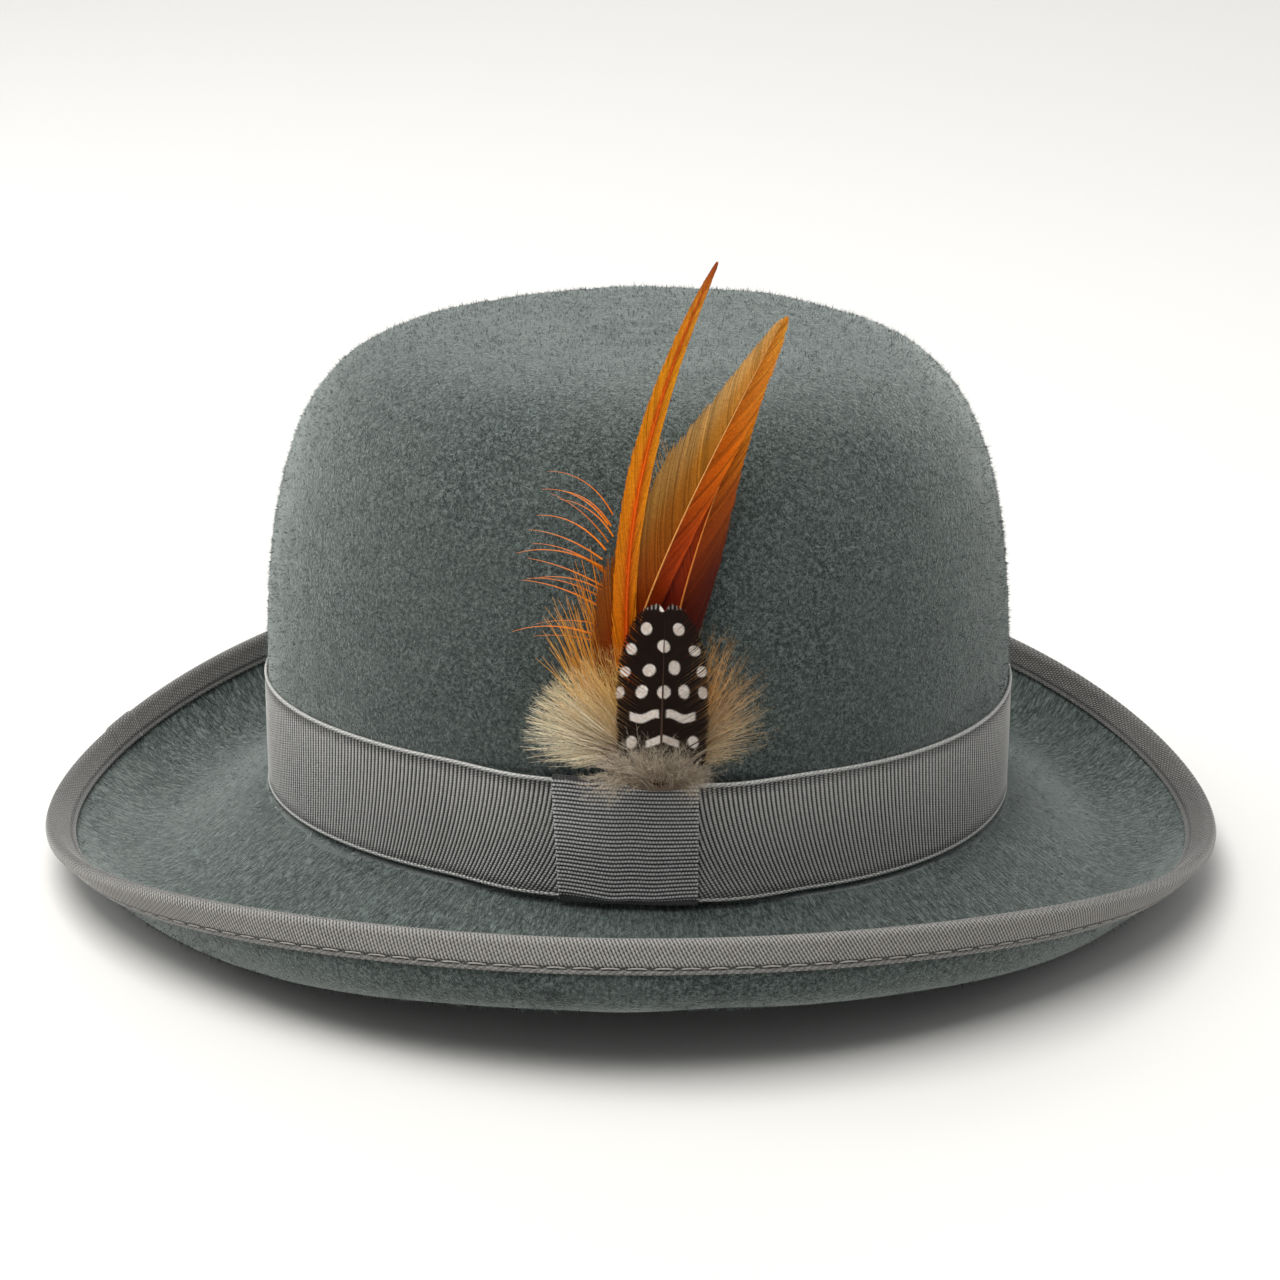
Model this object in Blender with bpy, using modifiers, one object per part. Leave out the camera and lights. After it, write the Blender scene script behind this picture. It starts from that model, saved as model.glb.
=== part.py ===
"""Bowler hat with a feather mount.

A blocked felt body (crown and brim in one piece), a bound brim edge, a ribbon band with its keeper,
a sweatband with a reed and a bow, a satin lining, and a plume whose tab is pushed behind the band.

Metres, +Z up. +X is the back of the hat, -X its front and -Y the wearer's left, where the plume is.
The shapes are worked out from the break, the corner where the crown meets the brim: angle 0 is the
back, angles run anticlockwise seen from above, and heights count from the break. An empty then
stands the whole hat on the ground, with the origin in the middle of its base.
"""

import math

import bmesh
import bpy
from mathutils import Vector

# Head opening: the inside of the sweatband
HEAD_LENGTH = 0.1954
HEAD_WIDTH = 0.1664
OVAL_EGG = 0.08  # how much wider the oval is towards the back
OVAL_PINCH = 0.012  # how much the oval is drawn in at its four quarters

# Thicknesses, and the gap that touching pieces keep
FELT = 0.0022
SWEATBAND = 0.0009
LINING = 0.0004
RIBBON = 0.0006
GAP = 0.0003

# Crown
CROWN_HEIGHT = 0.1277
CROWN_WALL_POWER = 6.06  # how long the wall stays upright
CROWN_DOME_POWER = 2.98  # how flat the top is
SIDE_RISE = 0.0036  # how much higher the break is at the sides than at front and back

# Brim: how far it reaches past the crown, and where its rim is above the break
BRIM_FRONT_REACH = 0.0601
BRIM_BACK_REACH = 0.0564
BRIM_SIDE_REACH = 0.0432
RIM_TIP_RISE = -0.0083
RIM_SIDE_RISE = 0.0126
RIM_CURVE = 0.53  # how early the rim climbs from its tips to its sides
RIM_PINCH = 0.010
TIP_DIP = math.radians(27.6)  # angles of the brim's section at front and back, and at the sides
SIDE_DIP = math.radians(22.5)
TIP_ROLL = math.radians(35)
SIDE_ROLL = math.radians(121)
DIP_PULL = 0.528  # how far the dip and the roll hold the section, as shares of its chord
ROLL_PULL = 0.62

# Ribbon trims
BINDING_WIDTH = 0.0060
BAND_WIDTH = 0.0322
BAND_LIFT = 0.0012  # from the break up to the band's lower edge
KEEPER_TOP_WIDTH = 0.0352
KEEPER_BOTTOM_WIDTH = 0.0335
KEEPER_RIGHT = 0.0155  # the keeper's straight edge
BAND_CLEAR = 0.0060  # how far past the keeper's edges the band stays off the crown
BAND_EASE = 0.0260  # length over which it then comes back to the crown

# Sweatband and its bow
SWEATBAND_HEIGHT = 0.0340
REED_RADIUS = 0.0006
BOW_SPAN = 0.0220
BOW_HEIGHT = 0.0095
BOW_THICKNESS = 0.0008
BOW_DROP = 0.0100  # from the sweatband's top edge down to the bow

# Lining
LINING_TUCK = 0.0120  # how far its lower edge goes down behind the sweatband
LINING_EASE = 0.0014  # how loose it hangs under the dome
TIP_SHARE = 0.93  # share of the crown's height at which the oval tip is sewn in

# Plume: the tab behind the band, the binding of the quills, and layers of feathers outside the crown
TAB_WIDTH = 0.0220
TAB_MIDDLE = 0.0040
TAB_DEPTH = 0.0220
TAB_THICKNESS = 0.0009
POCKET_SLACK = 0.0009  # play between the tab and the keeper, so that the tab slides out
QUILL_WIDTH = 0.0012
BINDING_LENGTH = 0.0160
BINDING_HEIGHT = 0.0030
BINDING_MIDDLE = 0.0060
LEAN = math.radians(4.5)  # how far the feathers lean in over the crown
FIRST_LAYER = 0.0010
BLADE = 0.0008
FLUFF = 0.0030

SEGMENTS = 48  # facets round the hat
CROWN_RINGS = [0.998, 0.985, 0.955, 0.91, 0.85, 0.77, 0.66, 0.5, 0.3, 0.13]  # shares of its height
UP = Vector((0, 0, 1))

WALL_STACK = SWEATBAND + GAP + LINING + GAP + FELT
CROWN_HALF_LENGTH = HEAD_LENGTH / 2 + WALL_STACK
CROWN_HALF_WIDTH = HEAD_WIDTH / 2 + WALL_STACK
BAND_TOP = BAND_LIFT + BAND_WIDTH
KEEPER_TOP = BAND_TOP + GAP + RIBBON
TAB_OUT = GAP
KEEPER_BACK_OUT = TAB_OUT + TAB_THICKNESS + POCKET_SLACK
BAND_IN_KEEPER_OUT = KEEPER_BACK_OUT + RIBBON + GAP
SWEATBAND_OUT = -(FELT + GAP + LINING + GAP)


# Helpers


def mix(a, b, share):
    return a + (b - a) * share


def ring_angles(count=SEGMENTS):
    return [2 * math.pi * i / count for i in range(count)]


def spread(count):
    """Shares from 0 to 1 in count steps."""
    return [i / count for i in range(count + 1)]


def material(name, colour, roughness):
    made = bpy.data.materials.new(name)
    made.use_nodes = True
    shader = made.node_tree.nodes["Principled BSDF"]
    shader.inputs["Base Color"].default_value = (*colour, 1)
    shader.inputs["Roughness"].default_value = roughness
    return made


def add(name, data, parent, finish):
    made = bpy.data.objects.new(name, data)
    made.parent = parent
    data.materials.append(material(name, *finish))
    bpy.data.collections["bowler_hat"].objects.link(made)
    return made


def loft(rows, cyclic_rows, pole=None, cyclic_loft=False):
    """Mesh through rows of points, which run downwards or outwards so that the faces look outwards."""
    bm = bmesh.new()
    grid = [[bm.verts.new(point) for point in row] for row in rows]
    across = len(rows[0])
    for i in range(len(rows) if cyclic_loft else len(rows) - 1):
        upper, lower = grid[i], grid[(i + 1) % len(grid)]
        for j in range(across if cyclic_rows else across - 1):
            k = (j + 1) % across
            bm.faces.new((upper[j], lower[j], lower[k], upper[k]))
    if pole is not None:
        top = bm.verts.new(pole)
        for j in range(across):
            bm.faces.new((top, grid[0][j], grid[0][(j + 1) % across]))
    mesh = bpy.data.meshes.new("loft")
    bm.to_mesh(mesh)
    bm.free()
    mesh.shade_smooth()
    return mesh


def thicken(thing, thickness, outwards):
    solidify = thing.modifiers.new("thickness", "SOLIDIFY")
    solidify.thickness = thickness
    solidify.offset = 1 if outwards else -1
    solidify.use_even_offset = True


def flat_outline(points, thickness):
    """Filled flat plate with the outline given, in its own X and Y, with half its thickness each side."""
    curve = bpy.data.curves.new("outline", "CURVE")
    curve.dimensions = "2D"
    curve.fill_mode = "BOTH"
    curve.extrude = thickness / 2
    spline = curve.splines.new("POLY")
    spline.points.add(len(points) - 1)
    for knot, (x, y) in zip(spline.points, points):
        knot.co = (x, y, 0, 1)
    spline.use_cyclic_u = True
    return curve


# Surfaces of the felt


def crown_oval(angle):
    squeeze = 1 - OVAL_PINCH * math.sin(2 * angle) ** 2
    x = CROWN_HALF_LENGTH * math.cos(angle)
    y = CROWN_HALF_WIDTH * math.sin(angle) * (1 + OVAL_EGG * math.cos(angle))
    return Vector((x, y, 0)) * squeeze


def oval_outward(angle):
    step = 1e-3
    along = crown_oval(angle + step) - crown_oval(angle - step)
    return Vector((along.y, -along.x, 0)).normalized()


def break_rise(angle):
    return SIDE_RISE * math.sin(angle) ** 2


def crown_point(angle, share):
    """Point on the outside of the crown, at a share of its height."""
    width = (1 - share**CROWN_DOME_POWER) ** (1 / CROWN_WALL_POWER)
    height = mix(break_rise(angle), CROWN_HEIGHT, share)
    return crown_oval(angle) * width + UP * height


def wall_point(angle, above, out=0.0):
    """Point beside the crown's wall, at a height above the break and a distance out from the felt."""
    share = max(above, 0) / (CROWN_HEIGHT - break_rise(angle))
    point = crown_point(angle, share) + oval_outward(angle) * out
    point.z = break_rise(angle) + above
    return point


def lining_point(angle, share, depth):
    """Point under the crown's outside, at a depth along its normal."""
    step = 1e-3
    round_it = crown_point(angle + step, share) - crown_point(angle - step, share)
    up_it = crown_point(angle, share + step) - crown_point(angle, share - step)
    return crown_point(angle, share) - round_it.cross(up_it).normalized() * depth


def left_angle(x):
    """Angle of the crown's left side at a distance x towards the back."""
    return -math.acos(x / CROWN_HALF_LENGTH)


def rim_point(angle):
    squeeze = 1 - RIM_PINCH * math.sin(2 * angle) ** 2
    half_length = CROWN_HALF_LENGTH + (BRIM_BACK_REACH + BRIM_FRONT_REACH) / 2
    shift = (BRIM_BACK_REACH - BRIM_FRONT_REACH) / 2
    x = half_length * math.cos(angle) + shift * math.cos(angle) ** 2
    y = (CROWN_HALF_WIDTH + BRIM_SIDE_REACH) * math.sin(angle)
    climb = math.sin(angle) ** 2 * (1 + RIM_CURVE * math.cos(angle) ** 2)
    return Vector((x * squeeze, y * squeeze, mix(RIM_TIP_RISE, RIM_SIDE_RISE, climb)))


def brim_point(angle, share):
    """Point on the brim's upper side, at a share of its section from the break to the rim."""
    start, end = crown_point(angle, 0), rim_point(angle)
    chord = (end - start).length
    outward = Vector((end.x - start.x, end.y - start.y, 0)).normalized()
    side = math.sin(angle) ** 2
    dip, roll = mix(TIP_DIP, SIDE_DIP, side), mix(TIP_ROLL, SIDE_ROLL, side)
    leaving = outward * math.cos(dip) - UP * math.sin(dip)
    arriving = outward * math.cos(roll) + UP * math.sin(roll)
    first = start + leaving * chord * DIP_PULL
    second = end - arriving * chord * ROLL_PULL
    back = 1 - share
    return start * back**3 + first * 3 * back**2 * share + second * 3 * back * share**2 + end * share**3


def brim_frame(angle, share, span=1e-3):
    """The brim's upward normal and its direction towards the rim, over the span of shares before it."""
    step = 1e-3
    round_it = brim_point(angle + step, share) - brim_point(angle - step, share)
    outward = (brim_point(angle, share) - brim_point(angle, share - span)).normalized()
    return outward.cross(round_it).normalized(), outward


def ground_drop():
    """How far the brim's underside hangs below the break at its lowest."""
    low = 0
    for angle in ring_angles():
        for share in spread(32):
            normal, _ = brim_frame(angle, max(share, 0.01))
            low = min(low, (brim_point(angle, share) - normal * FELT).z)
    return -low


# Felt and ribbon


def bound_shares(angle):
    """Shares of the brim's section at the binding's edge, its middle and the rim."""
    step = 0.1
    length = (brim_point(angle, 1) - brim_point(angle, 1 - step)).length / step
    return [1 - BINDING_WIDTH / length * s for s in (1, 0.6, 0.3, 0)]


def felt_shell(parent):
    """Crown and brim, blocked from one felt."""
    rows = [[crown_point(a, s) for a in ring_angles()] for s in CROWN_RINGS]
    sections = []
    for angle in ring_angles():
        bound = bound_shares(angle)
        shares = [bound[0] * s for s in spread(7)] + bound[1:]
        sections.append([brim_point(angle, s) for s in shares])
    rows += list(zip(*sections))
    mesh = loft(rows, True, pole=UP * CROWN_HEIGHT)
    thicken(add("felt_shell", mesh, parent, ((0.09, 0.115, 0.115), 0.95)), FELT, outwards=False)


def binding_section(angle):
    """The ribbon's inner face, from its upper edge round the felt's edge to its lower edge."""
    upper, lower = [], []
    shares = bound_shares(angle)
    last_span = 1 - shares[-2]
    for share in shares:
        normal, _ = brim_frame(angle, share, last_span if share == 1 else 1e-3)
        upper.append(brim_point(angle, share) + normal * GAP)
        lower.insert(0, brim_point(angle, share) - normal * (FELT + GAP))
    normal, outward = brim_frame(angle, 1, last_span)
    middle = brim_point(angle, 1) - normal * FELT / 2
    radius = FELT / 2 + GAP
    turn = [math.pi * s for s in spread(4)[1:-1]]
    edge = [middle + (normal * math.cos(t) + outward * math.sin(t)) * radius for t in turn]
    return upper + edge + lower


def brim_binding(parent):
    sections = [binding_section(a) for a in ring_angles()]
    mesh = loft(list(zip(*sections)), True)
    thicken(add("brim_binding", mesh, parent, ((0.13, 0.13, 0.135), 0.8)), RIBBON, outwards=True)


def band_out(angle):
    """How far the band stands off the crown: close to it, except where the keeper wraps it."""
    left, right = left_angle(KEEPER_RIGHT - KEEPER_TOP_WIDTH), left_angle(KEEPER_RIGHT)
    turned = (angle + math.pi) % (2 * math.pi) - math.pi
    past = max(left - turned, turned - right, 0) * CROWN_HALF_LENGTH
    ease = max(1 - max(past - BAND_CLEAR, 0) / BAND_EASE, 0)
    return mix(GAP, BAND_IN_KEEPER_OUT, ease * ease * (3 - 2 * ease))


def hat_band(parent):
    angles = ring_angles(2 * SEGMENTS)
    heights = [BAND_TOP, mix(BAND_LIFT, BAND_TOP, 0.5), BAND_LIFT]
    rows = [[wall_point(a, above, band_out(a)) for a in angles] for above in heights]
    mesh = loft(rows, True)
    thicken(add("hat_band", mesh, parent, ((0.15, 0.15, 0.155), 0.75)), RIBBON, outwards=True)


def band_keeper(parent):
    """Ribbon loop round the band, a little wider at its top."""
    near, far = BAND_IN_KEEPER_OUT - GAP, BAND_IN_KEEPER_OUT + RIBBON + GAP
    top, middle, bottom = BAND_TOP + GAP, BAND_LIFT + BAND_WIDTH / 2, BAND_LIFT - GAP
    loop = [(far, top), (far, middle), (far, bottom), (near, bottom), (near, middle), (near, top)]
    rows = []
    for out, above in loop:
        width = mix(KEEPER_BOTTOM_WIDTH, KEEPER_TOP_WIDTH, (above - bottom) / (top - bottom))
        places = [KEEPER_RIGHT - width * (1 - s) for s in spread(8)]
        rows.append([wall_point(left_angle(x), above, out) for x in places])
    mesh = loft(rows, False, cyclic_loft=True)
    thicken(add("band_keeper", mesh, parent, ((0.05, 0.05, 0.053), 0.75)), RIBBON, outwards=True)


# Inside of the hat


def reed_place():
    """Distance out and height of the reed, in the corner under the brim."""
    fold = REED_RADIUS + GAP + SWEATBAND
    out = SWEATBAND_OUT + REED_RADIUS + GAP
    steepest = max(TIP_DIP, SIDE_DIP)
    return out, -FELT - (fold + GAP) / math.cos(steepest)


def sweatband(parent):
    """Leather band, whose lower edge folds outwards round the reed."""
    reed_out, reed_height = reed_place()
    radius = REED_RADIUS + GAP
    section = [(SWEATBAND_OUT, SWEATBAND_HEIGHT), (SWEATBAND_OUT, SWEATBAND_HEIGHT / 2)]
    for share in spread(5):
        turn = math.pi * share
        section.append((reed_out - radius * math.cos(turn), reed_height - radius * math.sin(turn)))
    rows = [[wall_point(a, above, out) for a in ring_angles()] for out, above in section]
    mesh = loft(rows, True)
    thicken(add("sweatband", mesh, parent, ((0.035, 0.022, 0.016), 0.5)), SWEATBAND, outwards=False)


def sweatband_reed(parent):
    out, height = reed_place()
    curve = bpy.data.curves.new("sweatband_reed", "CURVE")
    curve.dimensions = "3D"
    curve.bevel_depth = REED_RADIUS
    curve.bevel_resolution = 1
    spline = curve.splines.new("POLY")
    spline.points.add(SEGMENTS - 1)
    for knot, angle in zip(spline.points, ring_angles()):
        knot.co = (*wall_point(angle, height, out), 1)
    spline.use_cyclic_u = True
    add("sweatband_reed", curve, parent, ((0.5, 0.45, 0.36), 0.5))


def sweatband_bow(parent):
    """Flat bow on the sweatband's back seam, which marks the back of the hat."""
    half, tall, knot = BOW_SPAN / 2, BOW_HEIGHT / 2, BOW_HEIGHT / 6
    quarter = [(knot, knot), (half * 0.6, tall), (half, tall * 0.8), (half, 0)]
    right = [(x, -y) for x, y in quarter[:-1]] + quarter[::-1]
    outline = right + [(-x, -y) for x, y in right]
    height = SWEATBAND_HEIGHT - BOW_DROP
    spread_angle = math.asin(half / CROWN_HALF_WIDTH)
    end = wall_point(spread_angle, height, SWEATBAND_OUT - SWEATBAND)
    bow = add("sweatband_bow", flat_outline(outline, BOW_THICKNESS), parent, ((0.03, 0.03, 0.032), 0.6))
    bow.location = (end.x - 2 * GAP - BOW_THICKNESS / 2, 0, end.z)
    bow.rotation_euler = (math.pi / 2, 0, math.pi / 2)


def lining_depth(share):
    """Depth of the lining's outer face: close to the felt behind the sweatband, looser above it."""
    above = share - SWEATBAND_HEIGHT / CROWN_HEIGHT
    return FELT + mix(GAP, LINING_EASE, min(max(above / 0.2, 0), 1))


def lining_side(parent):
    """Satin wall of the lining, from behind the sweatband up to the oval tip."""
    low = (SWEATBAND_HEIGHT - LINING_TUCK) / CROWN_HEIGHT
    shares = [TIP_SHARE] + [s for s in CROWN_RINGS if low < s < TIP_SHARE] + [low]
    rows = [[lining_point(a, s, lining_depth(s)) for a in ring_angles()] for s in shares]
    mesh = loft(rows, True)
    thicken(add("lining_side", mesh, parent, ((0.02, 0.02, 0.022), 0.35)), LINING, outwards=False)


def lining_tip(parent):
    """Flat oval of satin under the dome, sewn into the top edge of the side piece."""
    edge = [lining_point(a, TIP_SHARE, lining_depth(TIP_SHARE) + LINING) for a in ring_angles()]
    inner = [(p.x - oval_outward(a).x * GAP, p.y - oval_outward(a).y * GAP)
             for a, p in zip(ring_angles(), edge)]
    tip = add("lining_tip", flat_outline(inner, LINING), parent, ((0.02, 0.02, 0.022), 0.35))
    tip.location.z = min(point.z for point in edge) - GAP - LINING / 2


# Plume


def tab_patch(parent):
    """Stiff tab in the pocket between the crown and the keeper."""
    angles = [left_angle(TAB_MIDDLE + TAB_WIDTH * (s - 0.5)) for s in spread(6)]
    heights = [mix(KEEPER_TOP, BAND_TOP - TAB_DEPTH, s) for s in spread(3)]
    rows = [[wall_point(a, above, TAB_OUT) for a in angles] for above in heights]
    tab = add("feather_tab", loft(rows, False), parent, ((0.03, 0.03, 0.03), 0.9))
    thicken(tab, TAB_THICKNESS, outwards=True)


def plume_base():
    """Place where the quills come together, on the crown's wall just above the tab."""
    return wall_point(left_angle(BINDING_MIDDLE), KEEPER_TOP + GAP)


def quill_binding(parent):
    """Oval winding that ties the quills to the tab."""
    bm = bmesh.new()
    bmesh.ops.create_cone(
        bm, cap_ends=True, segments=24, radius1=0.5, radius2=0.5, depth=1
    )
    depth = plume_layer(6)[0] + BLADE - FIRST_LAYER
    bmesh.ops.scale(bm, vec=(BINDING_LENGTH, depth, BINDING_HEIGHT), verts=bm.verts)
    mesh = bpy.data.meshes.new("quill_binding")
    bm.to_mesh(mesh)
    bm.free()
    mesh.shade_smooth()
    mesh.set_sharp_from_angle(angle=math.radians(40))
    binding = add("quill_binding", mesh, parent, ((0.12, 0.08, 0.05), 0.8))
    binding.location = plume_base() - Vector((0, FIRST_LAYER + depth / 2, -BINDING_HEIGHT / 2))


def plume_layer(number):
    """Distance out from the crown and thickness of a layer: blades, with the fluff before the last."""
    thickness = FLUFF if number == 5 else BLADE
    out = FIRST_LAYER + number * (BLADE + GAP)
    if number > 5:
        out += FLUFF - BLADE
    return out, thickness


def leaf_outline(base_x, tip_x, length, width, bow, widest, point):
    """Outline of a feather: a curved middle line with a width that swells, then tapers to the tip.

    A point of 1 gives a sharp tip and 0.5 a round one.
    """
    power = widest / (1 - widest)
    peak = widest**power * (1 - widest)
    left, right = [], []
    for share in spread(12):
        middle = mix(base_x, tip_x, share) + bow * 4 * share * (1 - share)
        blade = (width - QUILL_WIDTH) * (share**power * (1 - share) / peak) ** point
        half = (blade + QUILL_WIDTH * (1 - share * 0.8)) / 2
        left.append((middle - half, length * share))
        right.append((middle + half, length * share))
    return right + left[::-1]


def feather(parent, name, colour, layer, base_x, tip, width, bow, widest, point=1):
    """Flat feather from the quill binding up to its tip, which is (x, height over the binding)."""
    out, thickness = plume_layer(layer)
    length = tip[1] / math.cos(LEAN)
    outline = leaf_outline(base_x, tip[0], length, width, bow, widest, point)
    made = add(name, flat_outline(outline, thickness), parent, (colour, 0.6))
    made.location = plume_base() + Vector((0, -out - thickness / 2, BINDING_HEIGHT + GAP))
    made.location.x = 0
    made.location.z += thickness / 2 * math.sin(LEAN)
    made.rotation_euler.x = math.pi / 2 - LEAN


def plume_feathers(parent):
    feather(parent, "hackle_wisps", (0.5, 0.12, 0.01), 0, 0.001, (-0.0140, 0.068), 0.013, -0.0095, 0.5)
    feather(parent, "rust_hackle", (0.28, 0.04, 0.005), 1, 0.009, (0.0330, 0.103), 0.017, 0.0020, 0.5)
    feather(parent, "olive_hackle", (0.35, 0.2, 0.03), 2, 0.006, (0.0345, 0.108), 0.015, -0.0030, 0.6)
    feather(parent, "tall_hackle", (0.8, 0.2, 0.01), 3, 0.004, (0.0180, 0.123), 0.006, -0.0105, 0.5)
    feather(parent, "left_fluff", (0.6, 0.45, 0.22), 5, 0.0, (-0.0230, 0.026), 0.020, -0.002, 0.6, 0.6)
    feather(parent, "right_fluff", (0.55, 0.35, 0.12), 5, 0.012, (0.0310, 0.030), 0.016, 0.002, 0.6, 0.6)
    feather(parent, "guinea_feather", (0.03, 0.025, 0.02), 6, 0.007, (0.0073, 0.044), 0.022, 0, 0.5, 0.5)


# Assembly


def clear_scene():
    for thing in list(bpy.data.objects):
        bpy.data.objects.remove(thing, do_unlink=True)


def holder(name, location, parent=None):
    """Empty that carries the pieces of one moving body."""
    made = bpy.data.objects.new(name, None)
    made.location = location
    made.parent = parent
    bpy.data.collections["bowler_hat"].objects.link(made)
    return made


def main():
    clear_scene()
    collection = bpy.data.collections.new("bowler_hat")
    bpy.context.scene.collection.children.link(collection)
    middle = (BRIM_FRONT_REACH - BRIM_BACK_REACH) / 2
    hat = holder("hat", (middle, 0, ground_drop()))
    felt_shell(hat)
    brim_binding(hat)
    hat_band(hat)
    band_keeper(hat)
    sweatband(hat)
    sweatband_reed(hat)
    sweatband_bow(hat)
    lining_side(hat)
    lining_tip(hat)
    plume = holder("plume", (0, 0, 0), hat)
    tab_patch(plume)
    quill_binding(plume)
    plume_feathers(plume)


main()
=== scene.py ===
import math

import bpy
import numpy as np
from mathutils import Matrix, Vector


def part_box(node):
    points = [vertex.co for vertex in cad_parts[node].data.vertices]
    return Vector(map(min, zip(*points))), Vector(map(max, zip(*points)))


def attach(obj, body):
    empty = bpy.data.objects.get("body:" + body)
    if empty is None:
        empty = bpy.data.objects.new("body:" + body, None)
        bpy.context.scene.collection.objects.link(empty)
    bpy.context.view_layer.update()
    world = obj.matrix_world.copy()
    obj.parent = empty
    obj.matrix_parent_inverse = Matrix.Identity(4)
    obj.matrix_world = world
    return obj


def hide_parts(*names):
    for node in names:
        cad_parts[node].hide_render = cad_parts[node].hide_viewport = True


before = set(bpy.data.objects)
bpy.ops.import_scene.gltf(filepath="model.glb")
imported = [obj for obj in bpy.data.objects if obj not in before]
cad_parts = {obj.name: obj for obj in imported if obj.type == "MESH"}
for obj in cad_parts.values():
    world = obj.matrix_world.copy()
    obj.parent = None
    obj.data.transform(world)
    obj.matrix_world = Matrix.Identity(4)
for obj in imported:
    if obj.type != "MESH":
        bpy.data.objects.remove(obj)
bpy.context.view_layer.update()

# Driving dimensions, repeated from the CAD source, in metres and radians
GAP = 0.0003
FELT = 0.0022
RIBBON = 0.0006
SWEATBAND = 0.0009
LINING = 0.0004
CROWN_HALF_WIDTH = 0.0873
OVAL_EGG = 0.08
OVAL_PINCH = 0.012
CROWN_WALL_POWER = 6.06
CROWN_DOME_POWER = 2.98
SIDE_RISE = 0.0036
BRIM_FRONT_REACH = 0.0601
BRIM_BACK_REACH = 0.0564
BRIM_SIDE_REACH = 0.0432
RIM_TIP_RISE = -0.0083
RIM_SIDE_RISE = 0.0126
RIM_CURVE = 0.53
RIM_PINCH = 0.010
TIP_DIP = math.radians(27.6)
SIDE_DIP = math.radians(22.5)
TIP_ROLL = math.radians(35)
SIDE_ROLL = math.radians(121)
DIP_PULL = 0.528
ROLL_PULL = 0.62
BINDING_WIDTH = 0.0060
BAND_WIDTH = 0.0322
BAND_LIFT = 0.0012
KEEPER_TOP_WIDTH = 0.0352
KEEPER_BOTTOM_WIDTH = 0.0335
KEEPER_RIGHT = 0.0155
BAND_CLEAR = 0.0060
BAND_EASE = 0.0260
TAB_THICKNESS = 0.0009
POCKET_SLACK = 0.0009
SWEATBAND_HEIGHT = 0.0340
REED_RADIUS = 0.0006
LINING_TUCK = 0.0120
LINING_EASE = 0.0014
TIP_SHARE = 0.93
LEAN = math.radians(4.5)
BLADE = 0.0008

# The rest of the hat's place and size, from the frame
band_low, band_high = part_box("hat_band")
BREAK = np.array([(band_low.x + band_high.x) / 2, 0, band_low.z - BAND_LIFT])
CROWN_HALF_LENGTH = (band_high.x - band_low.x) / 2 - GAP - RIBBON
CROWN_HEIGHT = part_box("felt_shell")[1].z - BREAK[2]
BAND_TOP = BAND_LIFT + BAND_WIDTH
KEEPER_BACK_OUT = GAP + TAB_THICKNESS + POCKET_SLACK
BAND_IN_KEEPER_OUT = KEEPER_BACK_OUT + RIBBON + GAP
SWEATBAND_OUT = -(FELT + GAP + LINING + GAP)
UP = np.array([0.0, 0.0, 1.0])
MM = 0.001

rng = np.random.default_rng(11)


# Helpers


def mix(a, b, share):
    return a + (b - a) * share


def ease(share):
    """Share from 0 to 1 that starts and ends gently."""
    share = np.clip(share, 0, 1)
    return share * share * (3 - 2 * share)


def window(place, start, end, soft):
    """1 between start and end, and 0 outside, with soft edges."""
    return ease((place - start) / soft + 0.5) * ease((end - place) / soft + 0.5)


def unit(vectors):
    return vectors / np.maximum(np.linalg.norm(vectors, axis=-1, keepdims=True), 1e-12)


lattice = rng.random((32, 32, 32))


def noise(points, size):
    """Smooth noise from 0 to 1 at points, with blobs about size across."""
    place = points / size
    cell = np.floor(place).astype(int)
    part = ease(place - cell)
    total = 0
    for corner in np.ndindex(2, 2, 2):
        weight = np.prod(np.where(corner, part, 1 - part), axis=-1)
        i, j, k = np.moveaxis((cell + corner) % 32, -1, 0)
        total = total + weight * lattice[i, j, k]
    return total


def run(points):
    """Length reached at each point of a line."""
    return np.concatenate(([0], np.cumsum(np.linalg.norm(np.diff(points, axis=0), axis=1))))


def signed(angle):
    """The same angle from -pi to pi."""
    return (angle + np.pi) % (2 * np.pi) - np.pi


def grid_faces(rows, columns, cyclic_rows, cyclic_columns):
    """Quads of a grid of points: rows of columns, each way closed or open."""
    i = np.arange(rows if cyclic_rows else rows - 1)[:, None]
    j = np.arange(columns if cyclic_columns else columns - 1)[None, :]
    below, beside = (i + 1) % rows, (j + 1) % columns
    corners = (i * columns + j, below * columns + j, below * columns + beside, i * columns + beside)
    return np.stack([np.broadcast_to(c, (len(i), j.shape[1])) for c in corners], -1).reshape(-1, 4)


def mesh_of(name, points, faces, smooth=True):
    """Mesh from arrays of points and of faces, which all have the same number of corners."""
    mesh = bpy.data.meshes.new(name)
    mesh.vertices.add(len(points))
    mesh.vertices.foreach_set("co", points.astype(np.float32).ravel())
    mesh.loops.add(faces.size)
    mesh.loops.foreach_set("vertex_index", faces.astype(np.int32).ravel())
    mesh.polygons.add(len(faces))
    mesh.polygons.foreach_set("loop_start", np.arange(0, faces.size, faces.shape[1], dtype=np.int32))
    mesh.update(calc_edges=True)
    mesh.validate()
    if smooth:
        mesh.shade_smooth()
    return mesh


def closed_mesh(name, points):
    """Mesh of a grid of points that closes both ways."""
    return mesh_of(name, points.reshape(-1, 3), grid_faces(*points.shape[:2], True, True))


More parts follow.
